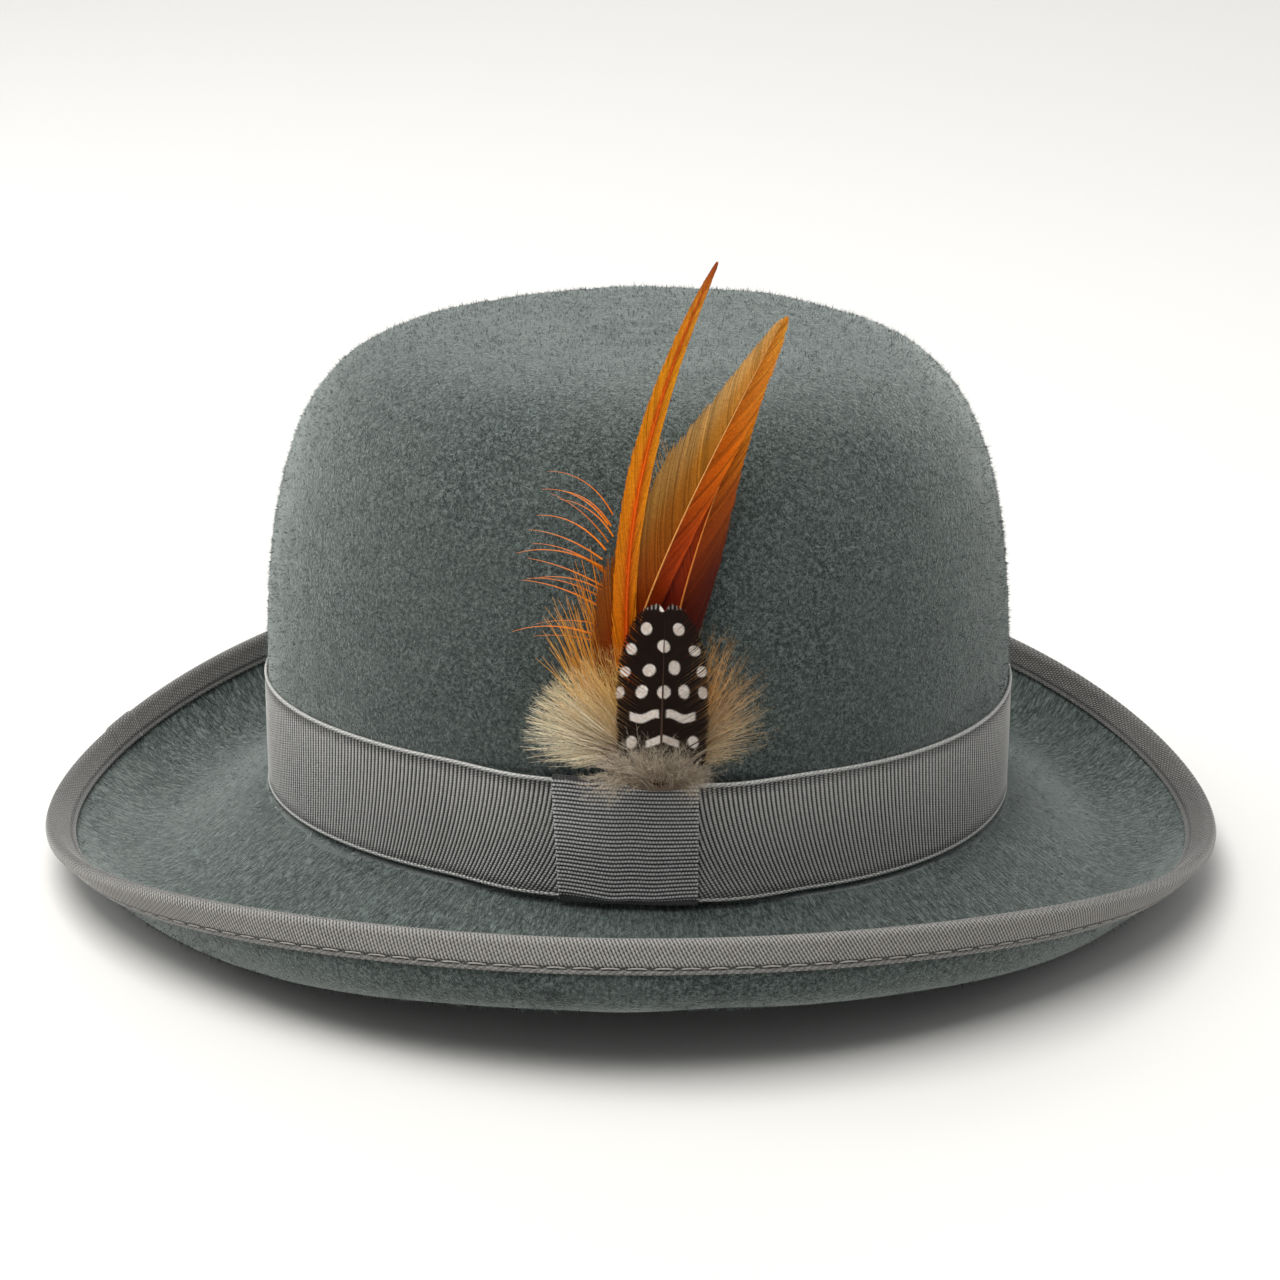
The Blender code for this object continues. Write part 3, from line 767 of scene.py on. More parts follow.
def brim_binding():
    """Grosgrain folded over the brim's edge, its ribs drawn slantwise, with a lapped join."""
    columns = round(even_angles(rim_point, 10)[1] / BINDING_RIB) * 4
    angle, length = even_angles(rim_point, columns)
    along = np.linspace(0, length, columns, endpoint=False)
    join = np.interp(JOIN_ANGLE, angle, along)
    lap = window(along, join, join + 0.011, 0.0012) * 0.0004
    width, thick = BINDING_WIDTH, FELT / 2 + GAP
    places = np.linspace(-width, 0, 16)[:-1]
    turns = np.linspace(0, np.pi, 7)
    section = [(d, 0.0) for d in places] + [(0.0, t) for t in turns] + [(d, np.pi) for d in places[::-1]]
    start = bound_share(angle)
    rows, light, warp = [], [], []
    across_total = 2 * width + np.pi * thick
    across = 0.0
    previous = None
    for depth, turn in section:
        step = 0 if previous is None else abs(depth - previous[0]) + abs(turn - previous[1]) * thick
        across += step
        previous = (depth, turn)
        from_fold = across - across_total / 2
        lean = np.abs(from_fold) * BINDING_SLANT
        shifted = (along + lean) % length
        a = np.interp(shifted, np.append(along, length), np.append(angle, 2 * np.pi))
        share = mix(bound_share(a), 1, 1 + depth / width)
        normal, outward = brim_frame(a, share)
        edge_normal, edge_out = brim_frame(a, 0 * a + 0.999)
        on_edge = 0 < turn < np.pi
        side = math.cos(turn)
        middle = brim_point(a, share) - normal * FELT / 2
        from_edge = min(across, across_total - across)
        phase = np.arange(columns) / 4
        ribbed = rib_wave(phase + (0.5 if from_fold > 0 else 0))
        plain = float(window(np.array(from_edge), -1, 0.0012, 0.0006))
        height = ribbed * BINDING_RIB_DEPTH * (1 - plain) + 0.00010 * plain
        groove = float(window(np.array(from_edge), 0.0011, 0.0017, 0.0005))
        sunk = 0.00042 * groove
        outside = thick + RIBBON - BINDING_RIB_DEPTH + height - sunk + lap
        direction = normal * side + outward * math.sin(turn)
        if on_edge or depth == 0:
            direction = edge_normal * side + edge_out * math.sin(turn)
            middle = brim_point(a, 0 * a + 1.0) - edge_normal * FELT / 2
        rows.append(middle + direction * outside[:, None])
        # The side that faces up is drawn darker than the fold and the underside, as painted shade; the stitch
        # groove and the dips between ribs are darker too, as painted shade, and the rib tops lighter, as
        # painted highlight
        upper_side_shade = 1.0 if from_fold > 0 else mix(0.5, 1.0, ease(-side + 0.5))
        light.append(mix(ribbed, 0.55 + 0 * ribbed, plain) * (1 - 0.85 * groove) * upper_side_shade)
        warp.append(across / 0.0008 + 0.5 * np.floor(np.arange(columns) / 4))
    inner = []
    for depth, turn in section[::-3]:
        share = mix(start, 1, 1 + depth / width)
        normal, outward = brim_frame(angle, np.minimum(share, 0.999))
        middle = brim_point(angle, share) - normal * FELT / 2
        inner.append(middle + (normal * math.cos(turn) + outward * math.sin(turn)) * thick)
        light.append(np.full(columns, 0.3))
        warp.append(np.full(columns, 0.0))
    mesh = closed_mesh("binding_ribbon", np.array(rows + inner))
    store(mesh, "rib", np.array(light).ravel())
    store(mesh, "warp", np.array(warp).ravel())
    finish = ribbon_material("binding_grosgrain", (0.018, 0.017, 0.016), (0.37, 0.355, 0.335), 0.15)
    made = piece("binding_ribbon", mesh, finish, stands_for=["brim_binding"])
    binding_stitches(length)


def tubes(name, lines, radius, sides=6):
    """Round threads along lines of points, as one mesh, with pinched ends."""
    lines = np.asarray(lines)
    count, steps = lines.shape[:2]
    along = unit(np.gradient(lines, axis=1))
    aside = unit(np.cross(along, UP + 0.01 * along))
    over = np.cross(aside, along)
    turn = np.linspace(0, 2 * np.pi, sides, endpoint=False)
    pinch = np.ones(steps)
    pinch[0] = pinch[-1] = 0.25
    ring = aside[:, :, None] * np.cos(turn)[:, None] + over[:, :, None] * np.sin(turn)[:, None]
    points = lines[:, :, None] + ring * (radius * pinch)[None, :, None, None]
    one = grid_faces(steps, sides, False, True)
    faces = (one[None] + (np.arange(count) * steps * sides)[:, None, None]).reshape(-1, 4)
    return mesh_of(name, points.reshape(-1, 3), faces)


STITCH = 0.0062
STITCH_INSET = 0.0014


def binding_stitches(length):
    """Machine stitches through the binding, just inside its edge under the brim."""
    count = round(length / STITCH)
    angle, _ = even_angles(rim_point, count * 16)
    angle = angle.reshape(count, 16)[:, :13]
    share = 1 - (1 - bound_share(angle)) * (1 - STITCH_INSET / BINDING_WIDTH)
    normal, outward = brim_frame(angle, share)
    arch = np.sin(np.linspace(0, np.pi, 13))
    out = FELT + GAP + RIBBON * 0.45 + 0.00034 * arch**0.5
    sway = (arch - 0.5) * 0.00020
    lines = brim_point(angle, share) - normal * out[:, None] + outward * sway[:, None]
    mesh = tubes("binding_stitches", lines, 0.00019)
    finish = thread_material("sewing_thread", (0.14, 0.13, 0.12), (0.42, 0.40, 0.37))
    piece("binding_stitches", mesh, finish)


# Inside of the hat


def reed_place():
    """Distance out and height of the reed, in the corner under the brim."""
    fold = REED_RADIUS + GAP + SWEATBAND
    return SWEATBAND_OUT + REED_RADIUS + GAP, -FELT - (fold + GAP) / math.cos(max(TIP_DIP, SIDE_DIP))


LIP_RADIUS = 0.0004  # rounding of the sweatband's top edge


def sweatband():
    """Leather band with a rounded top edge, folded round the reed, and lapped at the back."""
    reed_out, reed_height = reed_place()
    angle = 2 * np.pi * np.arange(720) / 720
    lip_foot = SWEATBAND_HEIGHT - LIP_RADIUS
    down = np.concatenate((np.linspace(lip_foot, SWEATBAND_HEIGHT - 0.006, 26),
                           np.linspace(SWEATBAND_HEIGHT - 0.006, reed_height, 26)[1:]))
    turn = np.linspace(0, np.pi, 12)[1:]
    radius = REED_RADIUS + GAP
    face = [(SWEATBAND_OUT - SWEATBAND, h) for h in down]
    face += [(reed_out - (radius + SWEATBAND) * math.cos(t), reed_height - (radius + SWEATBAND) * math.sin(t))
             for t in turn]
    back = [(reed_out - radius * math.cos(t), reed_height - radius * math.sin(t)) for t in turn[::-1]]
    back += [(SWEATBAND_OUT, h) for h in down[::-6]]
    lip = [(SWEATBAND_OUT - SWEATBAND * (0.5 - 0.5 * math.cos(t)), lip_foot + LIP_RADIUS * math.sin(t))
           for t in np.linspace(0, np.pi, 6)[1:-1]]
    section = np.array(face + back + lip)
    out, above = section[:, :1] + 0 * angle, section[:, 1:] + 0 * angle
    on_face = (np.arange(len(section)) < len(down))[:, None]
    below_edge = SWEATBAND_HEIGHT - above
    lines = sum(np.exp(-(((below_edge - at) / 0.00022) ** 2)) for at in (0.0026, 0.0036))
    beside = signed(angle) * CROWN_HALF_WIDTH
    lap = window(beside, 0.0, 0.007, 0.0010)[None, :] * 0.00035
    place = wall_point(angle[None, :] + 0 * out, above, out)
    give = (noise(place, 0.012) - 0.5) * 0.0004
    out = out + on_face * (lines * 0.00022 - lap - np.abs(give))
    points = wall_point(angle[None, :] + 0 * out, above, out)
    mesh = closed_mesh("sweatband_leather", points)
    n = Nodes("sweatband_leather")
    inputs = {"Vector": n.place(), "Scale": 1 / 0.0011}
    cells = n.node("TexVoronoi", inputs, feature="DISTANCE_TO_EDGE").outputs[0]
    worn = n.noise(n.place(), 0.014, 3)
    pores = n.noise(n.place(), 0.0004, 2)
    colour = n.blend(n.span(worn, 0.3, 0.7), (0.036, 0.021, 0.014), (0.080, 0.046, 0.028))
    colour = n.blend(n.span(cells, 0.0, 0.12), (0.018, 0.011, 0.008), colour)
    n.shade(Base_Color=colour, Roughness=n.span(pores, 0.3, 0.7, 0.38, 0.58))
    height = n.math("ADD", n.span(cells, 0.0, 0.25), n.math("MULTIPLY", pores, 0.3))
    n.shade(Coat_Weight=0.12, Coat_Roughness=0.35, Normal=n.bump(height, 0.00016, 0.8))
    piece("sweatband_leather", mesh, n.material, stands_for=["sweatband"])
    sweatband_stitches(reed_height)


def thread_material(name, dark, light):
    n = Nodes(name)
    ply = n.noise(n.place(), 0.0004, 2)
    n.shade(Base_Color=n.blend(ply, dark, light), Roughness=0.5)
    n.shade(Sheen_Weight=0.2, Normal=n.bump(ply, 0.0001))
    return n.material


def sweatband_stitches(reed_height):
    """Overcast stitches above the reed, and two rows down the lapped seam at the back."""
    count = 190
    angle = 2 * np.pi * (np.arange(count)[:, None] + np.linspace(0, 0.72, 9)) / count
    arch = np.sin(np.linspace(0, np.pi, 9))[None, :]
    above = reed_height + 0.0012 + 0.0016 * np.linspace(0, 1, 9)[None, :] + 0 * angle
    out = SWEATBAND_OUT - SWEATBAND + 0.00005 - 0.00034 * arch + 0 * angle
    lines = [wall_point(angle, above, out)]
    seam = np.linspace(reed_height + 0.0045, SWEATBAND_HEIGHT - 0.0020, 11)
    tall = (seam[1] - seam[0]) * 0.8
    for beside in (0.0012, 0.0058):
        step = seam[:-1, None] + tall * np.linspace(0, 1, 9)[None, :]
        aside = beside / CROWN_HALF_WIDTH + 0 * step
        lines.append(wall_point(aside, step, SWEATBAND_OUT - SWEATBAND - 0.00042 - 0.00028 * arch + 0 * step))
    mesh = tubes("sweatband_stitches", np.concatenate(lines), 0.00021)
    finish = thread_material("sweatband_thread", (0.10, 0.075, 0.05), (0.26, 0.20, 0.14))
    piece("sweatband_stitches", mesh, finish)


def sweatband_bow():
    """Flat bow of narrow ribbon: a loop each side of a wrapped knot."""
    low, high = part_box("sweatband_bow")
    middle = np.array([(low.x + high.x) / 2, 0, (low.z + high.z) / 2])
    half, tall, deep = high.y, (high.z - low.z) / 2, (high.x - low.x) / 2
    u = np.linspace(0, 2 * np.pi, 160, endpoint=False)[:, None]
    v = np.linspace(-1, 1, 25)[None, :]
    y = half * np.sin(u)
    reach = np.abs(np.sin(u))
    width = tall * (0.30 + 0.66 * ease(reach / 0.55) - 0.10 * ease((reach - 0.8) / 0.2))
    pleats = 0.00016 * np.cos(v * 2.5 * np.pi) * (1 - reach) * np.sign(np.cos(u))
    x = (0.75 * deep + 0.00035 * reach * (1 - reach) * 4) * np.cos(u) + pleats
    droop = -0.0005 * reach**2
    loops = np.stack((x + 0 * v, y + 0 * v, width * v + droop), -1)
    wrap = np.linspace(0, 2 * np.pi, 40, endpoint=False)[:, None]
    across = np.linspace(-1, 1, 9)[None, :]
    knot_x = (deep + 0.00035) * np.sign(np.cos(wrap)) * np.abs(np.cos(wrap)) ** 0.5
    knot_z = tall * 0.42 * np.sign(np.sin(wrap)) * np.abs(np.sin(wrap)) ** 0.5
    knot = np.stack((knot_x + 0 * across, 0.0015 * across + 0 * wrap, knot_z + 0 * across), -1)
    points = np.concatenate((loops.reshape(-1, 3), knot.reshape(-1, 3))) + middle
    knot_faces = grid_faces(40, 9, True, False) + loops.size // 3
    faces = np.concatenate((grid_faces(160, 25, True, False), knot_faces))
    mesh = mesh_of("sweatband_bow_ribbon", points, faces)
    # Painted shade and highlight of ribs: light and dark stripes across the flat ribbon and round the knot,
    # with no ribs in the mesh
    store(mesh, "rib", np.concatenate(((0.5 + 0.5 * np.sin(u * 60) + 0 * v).ravel(),
                                       (0.5 + 0.5 * np.sin(wrap * 12) + 0 * across).ravel())))
    store(mesh, "warp", np.concatenate(((v * 14 + 0 * u).ravel(), (across * 5 + 0 * wrap).ravel())))
    finish = ribbon_material("bow_grosgrain", (0.008, 0.008, 0.009), (0.085, 0.085, 0.09), 0.1)
    made = piece("sweatband_bow_ribbon", mesh, finish, stands_for=["sweatband_bow"])
    solid = made.modifiers.new("thickness", "SOLIDIFY")
    solid.thickness = 0.00022
    solid.offset = 0


def lining_point(angle, share, depth):
    return crown_point(angle, share) - crown_normal(angle, share) * np.asarray(depth)[..., None]


def lining_depth(share):
    above = share - SWEATBAND_HEIGHT / CROWN_HEIGHT
    return FELT + mix(GAP, LINING_EASE, np.clip(above / 0.2, 0, 1))


def satin_material():
    n = Nodes("lining_satin")
    threads = n.noise(n.place(), 0.0005, 2)
    # Painted fold shade: broad darker and lighter blotches stand in for the shade and light of folds
    fold_shade = n.noise(n.place(), 0.012, 2)
    n.shade(Base_Color=n.blend(n.span(fold_shade, 0.3, 0.7), (0.016, 0.016, 0.018), (0.034, 0.034, 0.038)))
    n.shade(Roughness=n.span(threads, 0.3, 0.7, 0.26, 0.40), Sheen_Weight=0.3, Sheen_Roughness=0.3)
    n.shade(Normal=n.bump(threads, 0.00006, 0.6))
    return n.material


def lining(finish):
    """Satin side with soft gathers into the seam, an oval tip that sags a little, and their piping."""
    angle = 2 * np.pi * np.arange(600) / 600
    low = (SWEATBAND_HEIGHT - LINING_TUCK) / CROWN_HEIGHT
    shares = np.linspace(TIP_SHARE, low, 70)[:, None]
    share = shares + 0 * angle
    around = np.stack((np.cos(angle), np.sin(angle), 0 * angle), -1)
    gather = sum(w * np.abs(noise(around * 1.0, s) - 0.5) * 2 for w, s in ((0.6, 0.055), (0.4, 0.11)))
    free = ease((share - low) / 0.25) * (0.35 + 0.65 * ease((share - 0.5) / 0.43))
    depth = lining_depth(share) + 0.0016 * (1 - gather)[None, :] * free
    outer = lining_point(angle[None, :] + 0 * share, share, depth)
    inner = lining_point(angle[None, :] + 0 * share, share, depth + LINING)
    mesh = closed_mesh("lining_side_satin", np.concatenate((inner, outer[::-1])))
    made = piece("lining_side_satin", mesh, finish, stands_for=["lining_side"])
    _, girth = even_angles(lambda a: lining_point(a, 0 * a + 0.4, FELT + LINING_EASE), 10)
    edge = lining_point(angle, 0 * angle + TIP_SHARE, lining_depth(TIP_SHARE) + LINING + 0 * angle)
    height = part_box("lining_tip")[1].z
    centre = np.array([BREAK[0], 0, height])
    ring = np.linspace(0, 1, 60)[:, None, None]
    rim = (edge - centre) * (0.985, 0.985, 0) + centre
    plate = centre + (rim - centre)[None] * ring
    pulls = (gather - 0.5)[None, :] * 0.0012 * ease((ring[..., 0] - 0.6) / 0.4)
    plate[..., 2] += -0.0022 * (1 - ring[..., 0] ** 2) - np.abs(pulls) - (noise(plate, 0.02) - 0.5) * 0.0012
    lower, upper = plate[1:], plate[1:] + (0, 0, LINING * 0.9)
    mesh = closed_mesh("lining_tip_satin", np.concatenate((lower, upper[::-1])))
    made = piece("lining_tip_satin", mesh, finish, stands_for=["lining_tip"])
    seam = centre + (rim - centre) * (0.985, 0.985, 0) - UP * 0.0006
    seam[:, 2] -= np.abs(gather - 0.5) * 0.0006
    looped = np.concatenate((seam, seam[:1]))[None]
    piece("lining_piping", tubes("lining_piping", looped, 0.0007, 8), finish)


def carried_nodes():
    """Better finishes for the CAD solids that stay: the reed and the plume's stiff tab."""
    n = Nodes("reed_cord")
    inputs = {"Vector": n.place(), "Scale": 900.0, "Distortion": 2.0}
    twist = n.node("TexWave", inputs, bands_direction="DIAGONAL").outputs["Fac"]
    n.shade(Base_Color=n.blend(twist, (0.34, 0.29, 0.21), (0.58, 0.52, 0.41)), Roughness=0.55)
    n.shade(Normal=n.bump(twist, 0.0001))
    finish_node("sweatband_reed", n.material)
    n = Nodes("tab_buckram")
    place = n.node("SeparateXYZ", {"Vector": n.place()})
    weave = n.math("MULTIPLY", n.math("SINE", n.math("MULTIPLY", place.outputs["X"], 6000)),
                   n.math("SINE", n.math("MULTIPLY", place.outputs["Z"], 6000)))
    fibre = n.noise(n.place(), 0.0008, 2)
    tone = n.math("ADD", n.math("MULTIPLY", weave, 0.3), fibre)
    n.shade(Base_Color=n.blend(n.span(tone, 0.2, 0.8), (0.012, 0.012, 0.012), (0.06, 0.058, 0.055)))
    n.shade(Roughness=0.9)
    n.shade(Normal=n.bump(tone, 0.0001))
    finish_node("feather_tab", n.material)


def finish_node(name, material):
    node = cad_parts[name]
    for i in range(max(len(node.material_slots), 1)):
        if i < len(node.material_slots):
            node.material_slots[i].material = material
        else:
            node.data.materials.append(material)


# Plume: each feather lies in a plane that leans in over the crown, with x across and h up from the ties


def leftward(along):
    """Direction in the plane a quarter turn to the left of another."""
    return np.stack((-along[..., 1], along[..., 0]), -1)


def walk(start, step, length):
    """Paths from start points that take steps of equal length; length is the whole path's."""
    step = np.concatenate((0 * step[:, :1], (step[:, 1:] + step[:, :-1]) / 2), 1)
    return start[:, None] + np.cumsum(step, 1) * (length / (step.shape[1] - 1))[:, None, None]


def taper(width, tail, power, foot=(0.3, 0.1)):
    """Half width along a vane that narrows over its tail to the tip, and at its foot."""
    run_in, least = foot
    return lambda share: width * np.clip((1 - share) / tail, 0, 1) ** power * ease(share / run_in + least)


class Strands:
    """Narrow strips and thin tubes that make up a feather, with a colour at each point."""

    def __init__(self, node, thickness=BLADE):
        low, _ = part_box(node)
        self.origin = np.array([0, low.y + thickness / 2, low.z])
        self.points, self.colours, self.faces, self.count = [], [], [], 0

    def place(self, flat, out):
        """Points in the row frame from (x, h) in the feather's plane and a distance out of it."""
        x, h = flat[..., 0], flat[..., 1]
        y = h * math.sin(LEAN) - out * math.cos(LEAN)
        z = h * math.cos(LEAN) + out * math.sin(LEAN)
        return self.origin + np.stack((x, y, z), -1)

    def grid(self, points, colours, wrap=False):
        """Adds n strips, each m steps long and k points wide."""
        n, m, k = points.shape[:3]
        one = grid_faces(m, k, False, wrap)
        faces = one[None] + (self.count + np.arange(n) * m * k)[:, None, None]
        self.faces.append(faces.reshape(-1, 4))
        self.points.append(points.reshape(-1, 3))
        shades = np.broadcast_to(colours[:, :, None, :], (n, m, k, 3))
        self.colours.append(shades.reshape(-1, 3))
        self.count += n * m * k

    def strips(self, flat, out, width, colours, tilt=0.35):
        """Adds barbs along paths in the plane, each tilted like a louvre."""
        along = unit(np.gradient(flat, axis=1))
        aside = leftward(along) * width[..., None] / 2
        rise = width * math.sin(tilt) / 2
        sides = [self.place(flat + aside * s, out + rise * s) for s in (-1, 1)]
        self.grid(np.stack(sides, 2), colours)

    def quill(self, flat, out, radius, colours, sides=6):
        path = self.place(flat, out)
        along = unit(np.gradient(path, axis=0))
        aside = unit(np.cross(along, np.array([0.0, 1.0, 0.0])))
        over = np.cross(along, aside)
        turn = np.linspace(0, 2 * np.pi, sides, endpoint=False)[:, None]
        ring = aside[:, None] * np.cos(turn) + over[:, None] * np.sin(turn)
        self.grid((path[:, None] + ring * radius[:, None, None])[None], colours[None], wrap=True)

    def shaft(self, line, out, thick, thin, colour):
        """Quill along a whole line, from thick at the foot to thin at the tip."""
        share = np.linspace(0, 1, 60)
        self.quill(line(share)[0], 0 * share + out, mix(thick, thin, share), colour(share))

    def finish(self, name, slot, stands_for, material):
        mesh = mesh_of(name, np.concatenate(self.points), np.concatenate(self.faces))
        colours = np.concatenate(self.colours)
        store(mesh, "barb_colour", np.concatenate((np.clip(colours, 0, 1), np.ones((len(colours), 1))), 1))
        piece(name, mesh, material, "plume", [stands_for])


def bezier(*points):
    """Bezier curve through its first and last points, in mm, pulled towards the others."""
    points = np.array(points, float) * MM

    def at(share):
        share = np.asarray(share)[..., None]
        level = list(points)
        while len(level) > 2:
            level = [mix(a, b, share) for a, b in zip(level, level[1:])]
        return mix(level[0], level[1], share), unit(level[1] - level[0])

    return at


def shade(*stops):
    """Colour from pairs of (place, colour) along a share."""
    places = [place for place, _ in stops]
    table = np.array([colour for _, colour in stops])
    return lambda share: np.stack([np.interp(share, places, table[:, i]) for i in range(3)], -1)


def vane(strands, line, side, low, high, half, colour, spacing=0.00024, leave=42, arrive=16, out=0.0,
         ragged=0.05, steps=9, width=1.25, camber=0.0002):
    """Barbs on one side of a quill, from share low to high. half(share) is the vane's half width."""
    whole = np.linalg.norm(line(1.0)[0] - line(0.0)[0])
    count = int((high - low) * whole / spacing)
    share = np.linspace(low, high, count) + rng.normal(0, 0.3 * spacing / whole, count)
    start, along = line(share)
    aside = leftward(along) * side
    s = np.linspace(0, 1, steps)
    clump = noise(np.stack((share * whole, 0 * share + side, 0 * share + whole), -1), 0.0022) - 0.5
    turn = np.radians(mix(leave, arrive, s))[None, :] + (clump * 0.8 * ragged)[:, None] * s
    turn = turn + rng.normal(0, ragged * 0.25, count)[:, None]
    step = np.cos(turn)[..., None] * along[:, None] + np.sin(turn)[..., None] * aside[:, None]
    reach = half(share) / np.sin(turn).mean(1) * (1 + rng.normal(0, ragged, count))
    path = walk(start, step, reach)
    wide = spacing * width * (1 - 0.75 * s**2)[None, :] * (0.8 + 0.4 * rng.random((count, 1)))
    level = out + camber * np.sin(np.pi * s)[None, :] + rng.normal(0, 0.00003, count)[:, None]
    tone = 1 + rng.normal(0, 0.16, count)[:, None, None] + (clump * 0.5)[:, None, None]
    here = np.minimum(share[:, None] + (reach * np.cos(turn).mean(1) / whole)[:, None] * s * 0.85, 1)
    strands.strips(path, level, wide, colour(here, s[None, :] + 0 * here) * tone)


def hairs(strands, base, heading, length, bend, colour, wide=0.00014, out=0.0, spread_out=0.0, steps=8):
    """Loose barbs from base points in the plane, each with a heading from straight up and a bend."""
    count = len(base)
    s = np.linspace(0, 1, steps)
    turn = heading[:, None] + bend[:, None] * s**1.3
    step = np.stack((np.sin(turn), np.cos(turn)), -1)
    path = walk(base, step, length)
    level = np.asarray(out)[..., None] + rng.normal(0, 1, count)[:, None] * s * spread_out
    width = wide * (1 - 0.8 * s)[None, :] * (0.7 + 0.6 * rng.random((count, 1)))
    strands.strips(path, level, width, colour, tilt=0.6)
    return path, level


def barbules(strands, path, level, colour, per_hair=12, length=0.0014, wide=0.00005):
    """Fine side hairs that make down soft."""
    count, steps = path.shape[:2]
    place = rng.uniform(0.05, 0.95, (count, per_hair)) * (steps - 1)
    cell = np.floor(place).astype(int)
    part = (place - cell)[..., None]
    row = np.arange(count)[:, None]
    root = mix(path[row, cell], path[row, cell + 1], part)
    along = unit(path[row, cell + 1] - path[row, cell])
    aside = leftward(along) * rng.choice([-1, 1], (count, per_hair))[..., None]
    turn = rng.uniform(0.4, 1.1, (count, per_hair, 1))
    reach = length * rng.uniform(0.4, 1.3, (count, per_hair, 1))
    tip = root + (along * np.cos(turn) + aside * np.sin(turn)) * reach
    flat = np.stack((root, mix(root, tip, 0.5), tip), 2).reshape(-1, 3, 2)
    levels = np.broadcast_to(level, path.shape[:2])[row, cell]
    drift = rng.normal(0, 0.0003, (count, per_hair, 1)) * np.array([0, 0.5, 1])
    levels = (levels[..., None] + drift).reshape(-1, 3)
    shades = np.broadcast_to(colour[row, cell][:, :, None, :], (count, per_hair, 3, 3)).reshape(-1, 3, 3)
    width = np.broadcast_to(wide * np.array([1, 0.8, 0.2]), (count * per_hair, 3))
    strands.strips(flat, levels, width, shades)


def feather_material(name):
    """Barbs with their own colours, darkened a little at random in a fine grain."""
    n = Nodes(name)
    colour = n.attribute("barb_colour", "Color")
    grain = n.noise(n.place(), 0.0006, 2)
    darker = n.node("Mix", data_type="RGBA", blend_type="MULTIPLY")
    n.put(darker.inputs[0], 1.0)
    n.put(darker.inputs[6], colour)
    n.put(darker.inputs[7], n.blend(n.span(grain, 0.3, 0.7), (0.80, 0.72, 0.62), (1, 1, 1)))
    n.shade(Base_Color=darker.outputs[2], Roughness=n.span(grain, 0.3, 0.7, 0.38, 0.6))
    n.shade(Specular_IOR_Level=0.10)
    n.shade(Normal=n.bump(grain, 0.00006, 0.5))
    return n.material


def tall_hackle(finish):
    f = Strands("tall_hackle")
    line = bezier((4.0, 0), (-9.6, 62), (20.6, 125.0))
    body = shade((0, (0.62, 0.12, 0.004)), (0.4, (0.86, 0.25, 0.006)), (0.8, (0.98, 0.36, 0.012)),
                 (0.93, (0.90, 0.32, 0.03)), (0.98, (0.50, 0.13, 0.03)), (1, (0.30, 0.06, 0.02)))
    red = shade((0, (0.50, 0.045, 0.002)), (0.6, (0.80, 0.12, 0.003)), (1, (0.50, 0.09, 0.01)))

    def colour(share, s):
        return mix(red(share), body(share), ease(s * 2.2)[..., None])

    for side in (1, -1):
        vane(f, line, side, 0.05, 0.995, taper(0.0027, 0.5, 0.62, (0.16, 0.25)), colour, leave=15, arrive=5,
             spacing=0.00020, ragged=0.03, width=1.9, steps=12)
    f.shaft(line, 0.00015, 0.00045, 0.00012, lambda t: red(t) * 1.2)
    f.finish("tall_hackle_feather", "orange_feather", "tall_hackle", finish)


def olive_hackle(finish):
    f = Strands("olive_hackle")
    line = bezier((2.0, 0), (-9.0, 22), (11.0, 60), (36.2, 111.6))
    left = shade((0, (0.18, 0.014, 0.002)), (0.46, (0.28, 0.035, 0.002)), (0.62, (0.40, 0.11, 0.005)),
                 (0.78, (0.56, 0.22, 0.02)), (0.92, (0.78, 0.36, 0.07)), (1, (0.86, 0.45, 0.12)))
    edge = shade((0, (0.20, 0.03, 0.003)), (0.48, (0.30, 0.08, 0.008)), (0.66, (0.46, 0.23, 0.05)),
                 (0.9, (0.84, 0.50, 0.17)), (1, (0.84, 0.50, 0.17)))
    right = shade((0, (0.16, 0.009, 0.002)), (0.42, (0.26, 0.022, 0.002)), (0.62, (0.46, 0.055, 0.003)),
                  (0.8, (0.78, 0.17, 0.004)), (1, (0.92, 0.36, 0.04)))

    vane(f, line, 1, 0.10, 0.995, taper(0.0083, 0.45, 0.78),
         lambda t, s: mix(left(t), edge(t), ease(s * 1.7 - 0.4)[..., None]),
         leave=25, arrive=8, ragged=0.025, width=2.0, steps=14)
    vane(f, line, -1, 0.10, 0.995, taper(0.0049, 0.27, 0.6),
         lambda t, s: mix(right(t), right(t) * 1.2, s[..., None]),
         leave=22, arrive=7, ragged=0.03, width=1.9, steps=12)
    # The lowest barbs of the left vane stand apart as a short fringe
    count = 16
    order = np.linspace(0, 1, count)
    base = np.stack((mix(6.5, 12.0, order), mix(62, 74, order)), -1) * MM
    heading = np.radians(-mix(36, 26, order) + rng.normal(0, 3, count))
    length = 0.0105 * rng.uniform(0.75, 1.1, count)
    s = np.linspace(0, 1, 8)[None, :, None]
    tan = mix(np.array([0.40, 0.17, 0.04]), np.array([0.50, 0.30, 0.10]), s) + 0 * order[:, None, None]
    hairs(f, base, heading, length, np.radians(rng.normal(14, 4, count)), tan, 0.00034, 0.0001)
    pale = shade((0, (0.50, 0.12, 0.02)), (0.5, (0.86, 0.36, 0.09)), (1, (0.86, 0.48, 0.15)))
    f.shaft(line, 0.00025, 0.00040, 0.00008, pale)
    f.finish("olive_hackle_feather", "olive_feather", "olive_hackle", finish)


